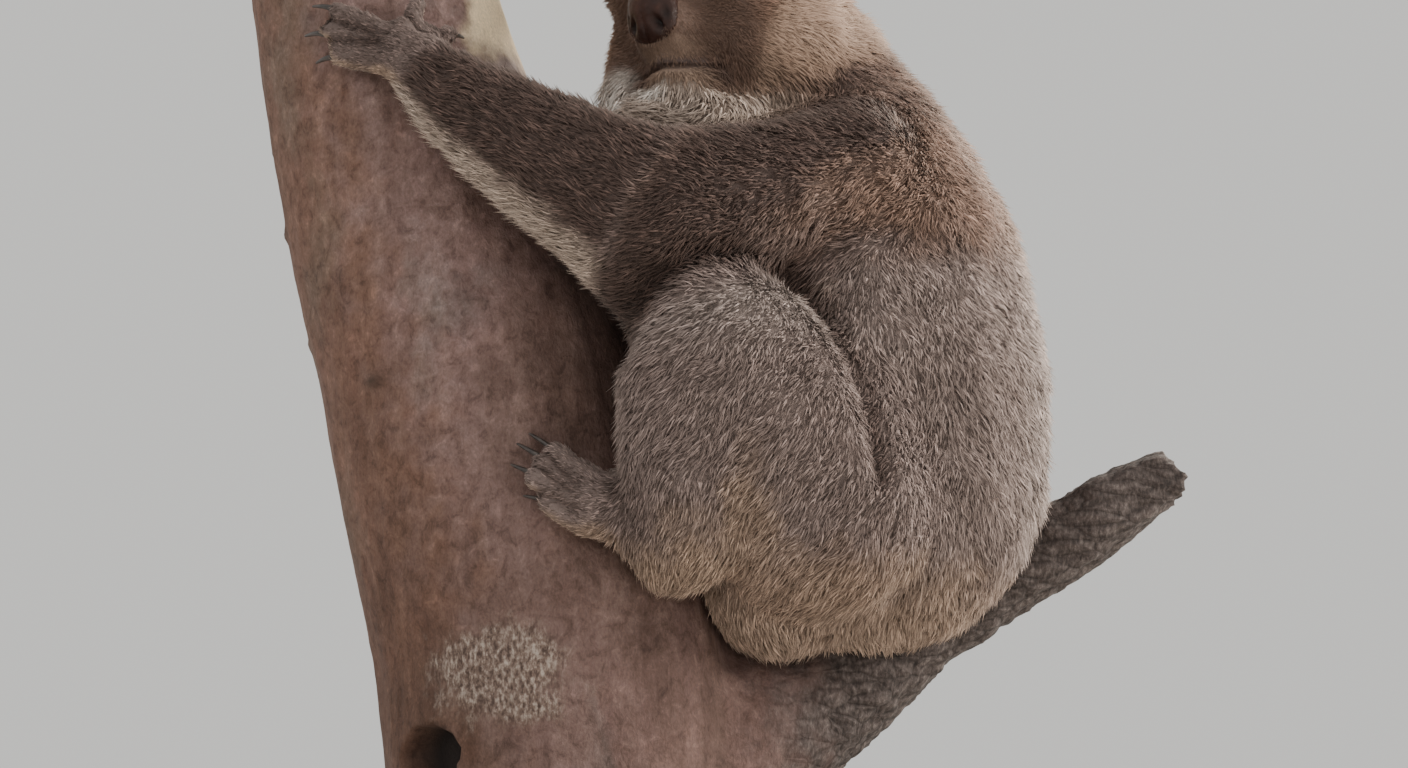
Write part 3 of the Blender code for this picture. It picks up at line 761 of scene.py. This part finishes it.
# -------- markings of skin and coat
# Grey on the back and thighs, brown over the shoulders and face, dark on the arms, cream under
# the limbs and rump, white on the chest, throat and ear fringes. Skin and tufts share them.
# Painted shade darkens the hollows, the folds, the gaps between digits and the corners of the
# mouth, and painted light whitens the underside of the chin further.

hide = points_of(skin)
edges = edges_of(skin)
shares = shares_of(hide, edges, 12)
outwards = unit(relax(normals_of(skin), edges, 8))
face = in_head(hide)
x, y, z = hide.T


def ripple(points, wavelength, seed):
    """A smooth random swell, about -1 to 1, from crossing waves of about one length."""
    drawn = np.random.default_rng(seed)
    waves = unit(drawn.normal(size=(9, 3))) * 2 * math.pi / wavelength * drawn.uniform(0.6, 1.5, (9, 1))
    return np.sin(points @ waves.T + drawn.uniform(0, 2 * math.pi, 9)).sum(1) / 3


neck, upper_arm, forearm, hand, thigh, shin, foot, head, ear = (
    share_of(shares, kind)
    for kind in ("neck", "upper_arm", "forearm", "hand", "thigh", "shin", "foot", "head", "ear")
)
arm = share_of(shares, "upper_arm", "forearm", "hand")
leg = share_of(shares, "thigh", "shin", "foot")
trunk = share_of(shares, "torso", "neck")
patchy = 0.5 * ripple(hide, 0.045, 1) + 0.5 * ripple(hide, 0.018, 2)
facing_log = ease(-outwards[:, 0] + 0.1 * patchy, 0.25, 0.80)
underneath = ease(-outwards[:, 2] + 0.12 * patchy, 0.30, 0.85)
inner_side = ease(-outwards[:, 1] * np.sign(y), 0.10, 0.60)
high_up = ease(z + 0.010 * patchy, 0.436, 0.484)
low_down = ease(z + 0.010 * patchy, 0.288, 0.250)

ear_front = np.zeros(len(hide))
ear_reach = np.zeros(len(hide))
for side in ("left", "right"):
    centre, thin, out, across = ear_axes(side)
    local = hide - centre
    share = ear * on_side(hide, side)
    ear_front += share * ease(outwards @ thin, -0.25, 0.35)
    ear_reach += share * np.clip(np.hypot(local @ out + 0.012, local @ across) / 0.030, 0, 1)

arm_below = ease(-0.75 * outwards[:, 0] - 0.66 * outwards[:, 2] + 0.06 * patchy, 0.66, 0.92)
bib = hill(hide, (-0.016, -0.050, 0.545), (0.066, 0.060, 0.026))
bib = bib * (1 - arm * ease(np.abs(y), 0.088, 0.100))
bib = bib * (1 - head * ease(face[:, 2], -0.088, -0.080))
ruff = np.hypot(face[:, 1] / 0.063, (face[:, 2] + 0.010) / 0.075)
on_chin = ease(np.abs(face[:, 1]), 0.045, 0.020)
ruff = head * ease(ruff + 0.04 * patchy + 0.06 * on_chin, 0.87, 1.00) * ease(face[:, 2], 0.030, -0.010)
white = np.maximum.reduce([
    trunk * facing_log * ease(z, 0.40, 0.47),
    neck * ease(-outwards[:, 0] - outwards[:, 2], 0.4, 1.0),
    ear_front * 0.95,
    ear * ease(ear_reach, 0.60, 1.00) * 0.75,
    bib * ease(x, -0.030, -0.050),
    0.90 * (head + trunk) * ease(x + 0.005 * patchy, -0.035, -0.047) * ease(z, 0.574, 0.562),
    0.24 * ease(bib, 0.15, 0.50),
    # Whiter under the chin: the chin's own pale fur, lightened further with painted light where the arms
    # shade it.
    0.26 * head * on_chin * ease(face[:, 2], -0.066, -0.078),
    0.22 * forearm * arm_below,
    0.16 * thigh * ease(z, 0.375, 0.425),
    0.14 * trunk * ease(x, 0.165, 0.190) * (1 - low_down),
    0.04 * trunk * ease(z, 0.470, 0.440),
])
in_thigh = np.linalg.norm((hide[:, [0, 2]] - THIGH_MIDDLE) / (0.066, 0.085), axis=1)
in_thigh = ease(in_thigh + 0.03 * patchy, 1.06, 0.98) * (1 - (forearm + hand))
cream = np.maximum.reduce([
    trunk * facing_log,
    (forearm + hand) * 0.95 * np.maximum(arm_below, 0.8 * inner_side),
    upper_arm * 0.7 * inner_side * ease(z, 0.490, 0.460),
    leg * np.maximum(0.8 * underneath, 0.85 * inner_side),
    (trunk + leg) * low_down * 0.80,
    0.75 * leg * ease(hill(hide, (0.026, 0, 0.288), (0.022, 1.0, 0.040)) + 0.15 * patchy, 0.25, 0.75),
    0.95 * shin * ease(z + 0.006 * patchy, 0.292, 0.272),
    0.80 * head * ease(hill(face, (0.070, 0.004, -0.061), (0.040, 0.024, 0.012)), 0.30, 0.70),
    0.42 * head * ease(hill(face, (0.075, 0.004, -0.041), (0.040, 0.024, 0.009)), 0.30, 0.70),
    0.60 * ruff,
    0.75 * ease(bib, 0.10, 0.40),
])
behind_arm = ease(z - 0.454 - 0.72 * (x - 0.031) + 0.010 * patchy, -0.010, 0.014)
shoulders = ease(np.abs(y), 0.035, 0.065) * ease(x, 0.125, 0.085) * ease(z, 0.490, 0.520)
nape = ease(z + 0.014 * patchy, 0.485, 0.575)
nape = nape * ease(outwards[:, 0] + 0.6 * np.abs(outwards[:, 1]), -0.1, 0.3)
nape = nape * (0.62 + 0.38 * ease(np.abs(y), 0.030, 0.070))
# Painted shadow in the corners of the mouth.
painted_mouth_shadow = hill(np.abs(face), (0.054, 0.028, 0.057), (0.022, 0.010, 0.013))
painted_mouth_shadow = painted_mouth_shadow * ease(face[:, 2], -0.042, -0.050)
dark = np.maximum.reduce([
    forearm * (1 - 0.95 * np.maximum(arm_below, inner_side)),
    upper_arm * np.maximum(behind_arm, ease(x, 0.035, 0.020)) * (1 - inner_side),
    np.clip(trunk - bib, 0, 1) * np.maximum(0.85 * shoulders, nape) * behind_arm,
    hand * 0.52 * (1 - 0.6 * arm_below),
    foot * 0.15 * (1 - 0.6 * underneath),
    0.30 * shin * ease(z, 0.275, 0.295),
    head * painted_mouth_shadow * 0.85,
    head * 0.55 * ease(np.abs(face[:, 1]), 0.062, 0.044),
    head * 0.60 * ease(face[:, 0] + 0.4 * face[:, 2], -0.020, -0.072),
    0.16 * (trunk + leg) * ease(ripple(hide, 0.060, 7), -0.1, 0.5),
    0.36 * trunk * ease(z, 0.410, 0.380) * ease(z, 0.270, 0.300) * ease(x, 0.175, 0.150),
])
dark = dark * (1 - in_thigh) * (1 - ease(bib, 0.15, 0.45))
warm = neck + high_up * (trunk + upper_arm) * 0.8 + head + ear * 0.3 + low_down * 0.5 - bib
warm = np.clip(warm, 0, 1)
# Painted shade: darker in the hollows of the hide, along the thigh and back folds, and between the digits.
creases = ((relax(hide, edges, 30) - hide) * outwards).sum(1)
crease = ease(creases, 0.0008, 0.0040) * (1 - ear) * (1 - 0.8 * head) * (1 - bib)
beside_body = ease(np.abs(y), 0.060, 0.090)
crease = np.maximum.reduce([
    crease,
    beside_body * 0.85 * bell(off_line(hide, THIGH_FOLD), 0.008),
    beside_body * 0.48 * bell(off_line(hide, BACK_FOLD), 0.009),
    0.9 * between_digits(hide, shares),
])
bare = bell(over_lips(face) - 0.002, 0.0036) * ease(face[:, 0], 0.040, 0.056)
bare = np.maximum(bare * ease(np.abs(face[:, 1]), MOUTH_HALF + 0.002, MOUTH_HALF - 0.010), lids)
give(skin, white=white, cream=cream, dark=dark, warm=warm, bare=bare, crease=crease)

# The shared shader of skin and coat. Along runs from 0 at a hair's root to 1 at its tip, and
# tint is each tuft's own lightness.
GREY_COAT = (0.272, 0.208, 0.190)
WARM_COAT = (0.245, 0.150, 0.108)
DARK_COAT = (0.098, 0.064, 0.054)
CREAM_COAT = (0.430, 0.310, 0.235)
WHITE_COAT = (0.880, 0.820, 0.760)

markings = bpy.data.node_groups.new("koala markings", "ShaderNodeTree")
for name in ("Along", "Tint"):
    markings.interface.new_socket(name, in_out="INPUT", socket_type="NodeSocketFloat")
markings.interface.new_socket("Color", in_out="OUTPUT", socket_type="NodeSocketColor")
given = markings.nodes.new("NodeGroupInput").outputs
colour = GREY_COAT
for mark, paint in (("warm", WARM_COAT), ("dark", DARK_COAT), ("cream", CREAM_COAT), ("white", WHITE_COAT)):
    colour = mix_node(markings, read(markings, mark), colour, paint)
brindle = ramp_node(
    markings, given["Tint"], (0.0, 0.38, 0.36, 0.34), (0.40, 0.86, 0.85, 0.84), (0.68, 1.13, 1.12, 1.11),
    (1.0, 1.95, 1.92, 1.90),
)
root_to_tip = ramp_node(
    markings, given["Along"], (0.0, 0.66, 0.62, 0.60), (0.5, 0.97, 0.965, 0.96), (1.0, 1.14, 1.135, 1.13),
)
# The painted crease shade multiplies the colour darker in hollows, folds and gaps between digits.
for share, shade in ((1.0, brindle), (1.0, root_to_tip), (read(markings, "crease"), (0.40, 0.36, 0.34))):
    colour = mix_node(markings, share, colour, shade, "MULTIPLY")
feed(markings, markings.nodes.new("NodeGroupOutput"), Color=colour)


def add_markings(tree, along, tint):
    """Places the markings in a material."""
    group = place_node(tree, "ShaderNodeGroup", {"node_tree": markings}, Along=along, Tint=tint)
    return group.outputs["Color"]


hide_finish, tree, shader = new_material("skin", 0.75)
nap = noise_node(tree, stretched(tree), 900, 3)
pores = noise_node(tree, stretched(tree), 380, 4)
furred = add_markings(tree, 0.42, math_node(tree, "MULTIPLY", nap, 0.9))
naked = ramp_node(tree, pores, (0.35, 0.070, 0.046, 0.040), (0.65, 0.125, 0.086, 0.076))
feed(tree, shader, Base_Color=mix_node(tree, read(tree, "bare"), furred, naked))
bump_node(tree, shader, math_node(tree, "ADD", nap, pores), 0.0005, 0.6)
skin.data.materials.append(hide_finish)
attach(skin, "root")
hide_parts(*FLESH)


# -------- the eyes
# Two wet brown eyes with upright slit pupils. Each is one ball with a low bulge of cornea.

eye_finish, tree, shader = new_material("eye", 0.20, Coat_Weight=0.40, Coat_Roughness=0.02, IOR=1.20)
beside, above, off_gaze = (read(tree, name) for name in ("beside", "above", "off_gaze"))
slit = math_node(
    tree, "ADD", math_node(tree, "POWER", math_node(tree, "DIVIDE", beside, 0.15), 2.0),
    math_node(tree, "POWER", math_node(tree, "DIVIDE", above, 0.46), 2.0),
)
round_it = math_node(tree, "ARCTAN2", above, beside)
spokes = place_node(
    tree, "ShaderNodeCombineXYZ", X=math_node(tree, "MULTIPLY", round_it, 6.0), Y=off_gaze,
).outputs[0]
iris = ramp_node(
    tree, noise_node(tree, spokes, 3.0, 5, 0.7), (0.30, 0.045, 0.019, 0.009), (0.55, 0.125, 0.056, 0.023),
    (0.75, 0.220, 0.110, 0.046),
)
ring_dark = ramp_node(
    tree, off_gaze, (0.0, 0.7), (0.45, 1), (0.66, 0.75, 0.7, 0.7), (0.74, 0.10, 0.09, 0.09),
)
iris = mix_node(tree, 1.0, iris, ring_dark, "MULTIPLY")
pupil = place_node(tree, "ShaderNodeMapRange", Value=slit, From_Min=0.85, From_Max=1.25).outputs[0]
feed(tree, shader, Base_Color=mix_node(tree, pupil, (0.004, 0.003, 0.003), iris))

for word, centre, side in (("left", eye_left, 1), ("right", eye_right, -1)):
    bpy.ops.mesh.primitive_uv_sphere_add(segments=56, ring_count=36, radius=1, location=(0, 0, 0))
    eye = bpy.context.object
    eye.name = f"eyeball_{word}"
    ball = points_of(eye)
    gaze, aside, over = eye_gaze(side)
    cornea = ease(ball[:, 2], 0.70, 0.96)
    off_gaze = np.arccos(np.clip(ball[:, 2], -1, 1)) / (math.pi / 2)
    give(eye, beside=ball[:, 0], above=ball[:, 1], off_gaze=off_gaze)
    ball = ball * (EYE_RADIUS * (1 + 0.05 * cornea))[:, None]
    move_points(eye, np.array(centre) + ball @ np.array((aside, over, gaze)) @ HEAD_AXES)
    eye.data.shade_smooth()
    eye.data.materials.append(eye_finish)
    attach(eye, "root")
    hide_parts(f"eye_{word}")


# -------- the nose
# A tall bare pad of fine-grained dark leather with a comma-shaped nostril at each lower side.

nose_pad = copy_node("nose", "nose_pad")
change(nose_pad, "SUBSURF", levels=3, render_levels=3)
pad = in_head(points_of(nose_pad))
beside, above = pad[:, 1] - nose_middle[1], pad[:, 2] - nose_middle[2]
in_front = ease(pad[:, 0], nose_middle[0] - 0.002, nose_middle[0] + 0.003)
nostril = (np.abs(beside) - 0.0088 + 0.25 * (above + 0.012)) / 0.0026
nostril = np.exp(-(nostril**2) - ((above + 0.0125) / 0.0042) ** 2)
wing = np.exp(-(((np.abs(beside) - 0.0135) / 0.0022) ** 2) - ((above + 0.0075) / 0.0050) ** 2)
seam = bell(beside, 0.0011) * ease(above, -0.004, -0.012)
bridge = np.exp(-(((np.abs(beside) - 0.0045) / 0.0040) ** 2) - ((above + 0.006) / 0.010) ** 2)
pad[:, 0] += in_front * (-0.0050 * nostril - 0.0022 * wing - 0.0010 * seam + 0.0006 * bridge)
swell = 0.0006 + 0.00022 * rough(pad, 420, 3, 9.0)
move_points(nose_pad, HEAD_CENTRE + pad @ HEAD_AXES)
move_points(nose_pad, points_of(nose_pad) + normals_of(nose_pad) * swell[:, None])
give(nose_pad, hollow=np.clip(nostril + 0.6 * wing, 0, 1) * in_front)
in_edit_mode(nose_pad, bpy.ops.mesh.quads_convert_to_tris)
nose_pad.data.shade_smooth()

nose_finish, tree, shader = new_material("nose leather", 0.42, Specular_IOR_Level=0.32)
coordinates = stretched(tree)
cells = place_node(
    tree, "ShaderNodeTexVoronoi", {"feature": "DISTANCE_TO_EDGE"}, Vector=coordinates, Scale=1100.0,
).outputs["Distance"]
blotches = noise_node(tree, coordinates, 120, 4)
leather = ramp_node(
    tree, blotches, (0.3, 0.026, 0.010, 0.007), (0.55, 0.042, 0.016, 0.011), (0.75, 0.068, 0.029, 0.021),
)
leather = mix_node(tree, read(tree, "hollow"), leather, (0.006, 0.004, 0.004))
feed(tree, shader, Base_Color=leather, Roughness=ramp_node(tree, blotches, (0.3, 0.34), (0.7, 0.55)))
bump_node(tree, shader, math_node(tree, "MINIMUM", cells, 0.25), 0.0009, 0.5)
nose_pad.data.materials.append(nose_finish)
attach(nose_pad, "root")
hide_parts("nose")


# -------- the claws
# Long dark hooks of horn on every finger and on four toes of each foot, rounded from the
# model's facets and streaked along their length.

horn, tree, shader = new_material("claw horn", 0.34, Coat_Weight=0.3, Coat_Roughness=0.2)
layers = noise_node(tree, stretched(tree, (260, 260, 700)), 1.0, 4)
horn_colour = ramp_node(
    tree, layers, (0.3, 0.020, 0.015, 0.013), (0.6, 0.055, 0.042, 0.036), (0.8, 0.120, 0.095, 0.080),
)
feed(tree, shader, Base_Color=horn_colour)
bump_node(tree, shader, layers, 0.0003, 0.5)

for node in sorted(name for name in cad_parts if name.startswith("claw")):
    claw = copy_node(node, node.replace("claw", "horn"))
    change(claw, "SUBSURF", levels=2, render_levels=2)
    change(claw, "DISPLACE", strength=0.00035, mid_level=0.0)
    in_edit_mode(claw, bpy.ops.mesh.quads_convert_to_tris)
    claw.data.shade_smooth()
    claw.data.materials.append(horn)
    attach(claw, "root")
    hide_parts(node)


# -------- the coat
# Dense woolly fur: many thousands of small locks of hair, each a slim closed spindle rooted in
# the skin that lies along the coat's stream and curls over at its tip. It is laid in pieces.

TUFTS = 243000
TUFTS_IN_A_PIECE = 33000
TUFT_POINTS = 5
PATCH = 0.0015
PATCH_OF_SKIN_TRIANGLES = 2600
BACK_TOP = 0.49
DOWN = np.array((0.0, 0.0, -1.0))
STREAMS = {
    "torso": (0.10, 0, -1.0),
    "neck": (0.35, 0, -1.0),
    "upper_arm": (-0.85, 0, -0.25),
    "forearm": (-0.90, 0, 0.35),
    "hand": (-0.95, 0, 0.25),
    "thigh": (-0.55, 0, -0.75),
    "shin": (-0.35, 0, -1.0),
    "foot": (-1.0, 0, 0.20),
}

stream = np.zeros_like(hide)
for kind, flow in STREAMS.items():
    stream += share_of(shares, kind)[:, None] * flow
nose_tip = HEAD_CENTRE + np.array((0.085, 0, -0.012)) @ HEAD_AXES
stream += head[:, None] * (unit(hide - nose_tip) + 0.15 * DOWN)
for side in ("left", "right"):
    centre, thin, out, across = ear_axes(side)
    stream += (ear * on_side(hide, side))[:, None] * unit(hide - (centre - out * 0.030))
stream -= outwards * (stream * outwards).sum(1, keepdims=True)
stream = unit(relax(unit(stream), edges, 20))
length, lift, width, density = coat_of(shares)
short = shortness(face, shares)
cheeks = head * ease(np.abs(face[:, 1]), 0.040, 0.066) * ease(face[:, 0], 0.045, 0.010)
jaw = head * ease(face[:, 2], -0.050, -0.066)
length = length * (1 - FACE_TRIM * short) + 0.005 * cheeks + 0.002 * jaw + 0.004 * ease(bib, 0.15, 0.50)
width = width * (1 - 0.42 * short)
density = density * (1 + 1.4 * short)
lift = lift - 12 * short + 6 * cheeks
fringe = ear * np.maximum(ear_front, ease(ear_reach, 0.75, 0.95))
length = length + fringe * (0.006 + 0.007 * ease(ear_reach, 0.4, 0.95))
lift = lift + fringe * 14
length = length * (1 + 0.12 * ripple(hide, 0.030, 3)) * (1 + 0.25 * cream * arm)
under_nose = under_pad(face, 0.0150, 0.0215, 1.0, 0.9)
density = density * (1 - 0.93 * np.clip(bare, 0, 1)) * (1 - 0.85 * lids) * (1 - under_nose)
clear = off_bark(hide)
density = density * (0.50 + 0.50 * ease(clear, 0.0005, 0.0045))
length = length * (0.45 + 0.55 * ease(clear, 0.0010, 0.0080))
lift = lift * (0.60 + 0.40 * ease(clear, 0.0010, 0.0080))

corners = numbers(skin.data.polygons, "vertices", 3, np.int32)
first, second, third = (hide[corners[:, k]] for k in range(3))
area = np.linalg.norm(np.cross(second - first, third - first), axis=1) / 2
wanted = area * density[corners].mean(1)
wanted *= TUFTS / wanted.sum()
owner_kind = np.array(KINDS)[shares[corners].mean(1).argmax(1)]
face_middle = hide[corners].mean(1)
left_side = face_middle[:, 1] < 0
COAT_PIECES = {
    "coat_face": (owner_kind == "head") & (face[corners].mean(1)[:, 0] > 0.020),
    "coat_crown": (owner_kind == "head") & (face[corners].mean(1)[:, 0] <= 0.020),
    "coat_ears": owner_kind == "ear",
    "coat_neck": (owner_kind == "neck") | ((owner_kind == "torso") & (face_middle[:, 2] > BACK_TOP)),
}
for word, chosen_side in (("left", left_side), ("right", ~left_side)):
    below = face_middle[:, 2] <= BACK_TOP
    COAT_PIECES[f"coat_back_{word}"] = (owner_kind == "torso") & below & chosen_side
    COAT_PIECES[f"coat_shoulder_{word}"] = (owner_kind == "upper_arm") & chosen_side
    COAT_PIECES[f"coat_forearm_{word}"] = np.isin(owner_kind, ("forearm", "hand")) & chosen_side
    COAT_PIECES[f"coat_leg_{word}"] = np.isin(owner_kind, ("thigh", "shin", "foot")) & chosen_side

carried = np.column_stack((
    hide, outwards, stream, length, lift, width, white, cream, dark, warm, crease, 1 - 0.55 * head,
))

coat_finish, tree, shader = new_material(
    "coat", 0.72, Sheen_Weight=0.20, Sheen_Roughness=0.5, Sheen_Tint=(1.0, 0.84, 0.74, 1.0),
    Specular_IOR_Level=0.25,
)
feed(tree, shader, Base_Color=add_markings(tree, read(tree, "along"), read(tree, "tint")))


def unwrapped_patch(faces):
    """Unwraps a light copy of part of the skin. Gives a finder of its triangles, and their UVs."""
    patch = skin.copy()
    patch.data = skin.data.copy()
    patch.parent = None
    bpy.context.scene.collection.objects.link(patch)
    others = np.ones(len(patch.data.polygons), bool)
    others[faces] = False
    in_edit_mode(patch, bpy.ops.mesh.delete, "FACE", others, type="FACE")
    change(patch, "SMOOTH", factor=0.5, iterations=8)
    change(patch, "DECIMATE", ratio=min(1.0, PATCH_OF_SKIN_TRIANGLES / len(patch.data.polygons)))
    in_edit_mode(
        patch, bpy.ops.uv.smart_project, angle_limit=1.15, island_margin=0.004, scale_to_bounds=True,
    )
    places = points_of(patch)
    triangles = numbers(patch.data.polygons, "vertices", 3, np.int32)
    uv = numbers(patch.data.uv_layers.active.uv, "vector", 2).reshape(-1, 3, 2)
    tree = BVHTree.FromPolygons(places.tolist(), triangles.tolist())
    bpy.data.objects.remove(patch)
    return tree, places[triangles], uv


def uv_at(roots, faces):
    """Where each root lies on the unwrap."""
    tree, triangles, uv = unwrapped_patch(faces)
    found = [tree.find_nearest(root) for root in roots.tolist()]
    places = np.array([hit[0] for hit in found])
    hit = np.array([hit[2] for hit in found])
    a, b, c = (triangles[hit, k] for k in range(3))
    normal = np.cross(b - a, c - a)
    whole = np.maximum((normal**2).sum(1), 1e-18)
    weight_b = (np.cross(places - a, c - a) * normal).sum(1) / whole
    weight_c = (np.cross(b - a, places - a) * normal).sum(1) / whole
    weights = np.column_stack((1 - weight_b - weight_c, weight_b, weight_c))
    return (uv[hit] * weights[:, :, None]).sum(1)


def lay_coat(name, chosen, seed):
    """Roots tufts over the chosen triangles of the skin and joins them into one piece."""
    drawn = np.random.default_rng(seed)
    faces = np.flatnonzero(chosen & (wanted > 0))
    count = min(int(wanted[faces].sum()), TUFTS_IN_A_PIECE)
    picked = drawn.choice(faces, count, p=wanted[faces] / wanted[faces].sum())
    u, v = drawn.random((2, count))
    fold = u + v > 1
    u[fold], v[fold] = 1 - u[fold], 1 - v[fold]
    weights = np.column_stack((1 - u - v, u, v))
    values = (carried[corners[picked]] * weights[:, :, None]).sum(1)
    root, normal, ahead, build, marks, contrast = np.split(values, (3, 6, 9, 12, 17), axis=1)
    normal = unit(normal)
    long, lifted, wide = build.T
    swirl = 0.22 * ripple(root, 0.028, 11) + 0.16 * ripple(root, 0.011, 12)
    swirl = swirl + 0.20 * drawn.normal(size=count)
    across = unit(np.cross(normal, ahead))
    ahead = unit(np.cross(across, normal))
    ahead, across = (
        ahead * np.cos(swirl)[:, None] + across * np.sin(swirl)[:, None],
        across * np.cos(swirl)[:, None] - ahead * np.sin(swirl)[:, None],
    )
    tint = drawn.beta(1.7, 1.9, count) - 0.5 + 0.16 * ripple(root, 0.0065, 14)
    tint = np.clip(0.5 + tint * contrast[:, 0], 0, 1)
    long = long * drawn.uniform(0.72, 1.22, count)
    wide = wide * drawn.uniform(0.75, 1.30, count)
    angle = np.radians(lifted + 7 * ripple(root, 0.016, 13) + 9 * drawn.normal(size=count))

    def lean(turn):
        return ahead * np.cos(turn)[:, None] + normal * np.sin(turn)[:, None]

    base = root - normal * ROOT_DEPTH
    bend = base + lean(angle + CURL) * (BEND_SHARE * long)[:, None]
    tip = bend + lean(angle - CURL) * ((1 - BEND_SHARE) * long)[:, None]
    over = np.cross(lean(angle), across)
    over *= np.sign((over * normal).sum(1, keepdims=True))
    ring = []
    for sideways, upwards in ((-0.5, -0.16), (0.5, -0.16), (0.0, 0.34)):
        ring.append(bend + (across * sideways + over * upwards) * wide[:, None])
    points = np.stack((base, *ring, tip), 1).reshape(-1, 3)
    normals = [normal]
    for aside in (-across, across, over):
        normals.append(unit(normal + aside * 0.55))
    normals = np.stack((*normals, unit(normal + ahead * 0.35)), 1).reshape(-1, 3)
    sides = np.array(((0, 2, 1), (0, 3, 2), (0, 1, 3), (4, 1, 2), (4, 2, 3), (4, 3, 1)))
    triangles = (np.arange(count)[:, None, None] * TUFT_POINTS + sides).reshape(-1, 3)

    mesh = bpy.data.meshes.new(name)
    mesh.vertices.add(len(points))
    mesh.loops.add(triangles.size)
    mesh.polygons.add(len(triangles))
    mesh.vertices.foreach_set("co", points.astype(np.float32).ravel())
    mesh.loops.foreach_set("vertex_index", triangles.astype(np.int32).ravel())
    mesh.polygons.foreach_set("loop_start", np.arange(0, triangles.size, 3, dtype=np.int32))
    mesh.update(calc_edges=True)
    mesh.shade_smooth()
    piece = bpy.data.objects.new(name, mesh)
    bpy.context.scene.collection.objects.link(piece)
    give(piece, along=np.tile((0.0, 0.5, 0.5, 0.5, 1.0), count), tint=np.repeat(tint, TUFT_POINTS))
    for mark, value in zip(("white", "cream", "dark", "warm", "crease"), marks.T):
        give(piece, **{mark: np.repeat(value, TUFT_POINTS)})
    spread = np.array(((0, -1), (-1, 0), (1, 0), (0, 0.35), (0, 1))) * PATCH
    uv = (uv_at(root, faces)[:, None] + spread).reshape(-1, 2)
    layer = mesh.uv_layers.new(name="OFBake")
    layer.uv.foreach_set("vector", uv[triangles.ravel()].astype(np.float32).ravel())
    mesh.normals_split_custom_set_from_vertices(normals.astype(np.float32))
    mesh.materials.append(coat_finish)
    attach(piece, "root")


for seed, (name, chosen) in enumerate(COAT_PIECES.items(), 21):
    lay_coat(name, chosen, seed)


# -------- the display stand
# A painted board with rounded corners, and two brushed steel rods with collars that hold the
# trunk clear of it.

BOARD_CORNER, BOARD_EDGE = 0.060, 0.004
COLLAR_RADIUS, COLLAR_HEIGHT = 0.019, 0.006


def rises(piece):
    """How much each edge of a piece rises from one end to the other."""
    ends = points_of(piece)[edges_of(piece)]
    return np.abs(ends[:, 0, 2] - ends[:, 1, 2])


low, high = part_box("stand_base")
bpy.ops.mesh.primitive_cube_add(size=1, location=(low + high) / 2)
board = bpy.context.object
board.name = "stand_board"
board.scale = high - low
bpy.ops.object.transform_apply(location=True, rotation=True, scale=True)
in_edit_mode(board, bpy.ops.mesh.bevel, "EDGE", rises(board) > 0.01, offset=BOARD_CORNER, segments=12)
in_edit_mode(board, bpy.ops.mesh.bevel, "EDGE", rises(board) < 1e-4, offset=BOARD_EDGE, segments=3)
only(board)
bpy.ops.object.shade_smooth_by_angle(angle=math.radians(35))

board_paint, tree, shader = new_material("stand board", 0.45)
fibres = noise_node(tree, stretched(tree, (12, 160, 160)), 1.0, 5)
paint = ramp_node(tree, fibres, (0.3, 0.235, 0.215, 0.190), (0.7, 0.275, 0.255, 0.228))
feed(tree, shader, Base_Color=paint, Roughness=ramp_node(tree, fibres, (0.3, 0.38), (0.7, 0.52)))
bump_node(tree, shader, fibres, 0.0004, 0.3)
board.data.materials.append(board_paint)
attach(board, "root")
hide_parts("stand_base")

steel, tree, shader = new_material("brushed steel", 0.30, Metallic=1.0)
brushing = noise_node(tree, stretched(tree, (60, 60, 2600)), 1.0, 3)
metal = ramp_node(tree, brushing, (0.3, 0.42, 0.42, 0.41), (0.7, 0.60, 0.60, 0.59))
feed(tree, shader, Base_Color=metal, Roughness=ramp_node(tree, brushing, (0.3, 0.24), (0.7, 0.42)))
bump_node(tree, shader, brushing, 0.0001, 0.4)

for node in ("stand_rod_front", "stand_rod_rear"):
    low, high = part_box(node)
    centre, radius = (low + high) / 2, (high.x - low.x) / 2
    turned = []
    for foot, top, girth in (
        (low.z, high.z, radius),
        (low.z, low.z + COLLAR_HEIGHT, COLLAR_RADIUS),
        (high.z - COLLAR_HEIGHT, high.z, COLLAR_RADIUS),
    ):
        bpy.ops.mesh.primitive_cylinder_add(
            vertices=64, radius=girth, depth=top - foot, location=(centre.x, centre.y, (foot + top) / 2)
        )
        part = bpy.context.object
        bpy.ops.object.transform_apply(location=True, rotation=True, scale=True)
        change(part, "BEVEL", width=0.0008, segments=3, limit_method="ANGLE")
        turned.append(part)
    only(*turned)
    bpy.ops.object.join()
    rod = bpy.context.object
    rod.name = node.replace("stand_rod", "stand_steel")
    bpy.ops.object.shade_smooth_by_angle(angle=math.radians(35))
    rod.data.materials.append(steel)
    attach(rod, "root")
    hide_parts(node)
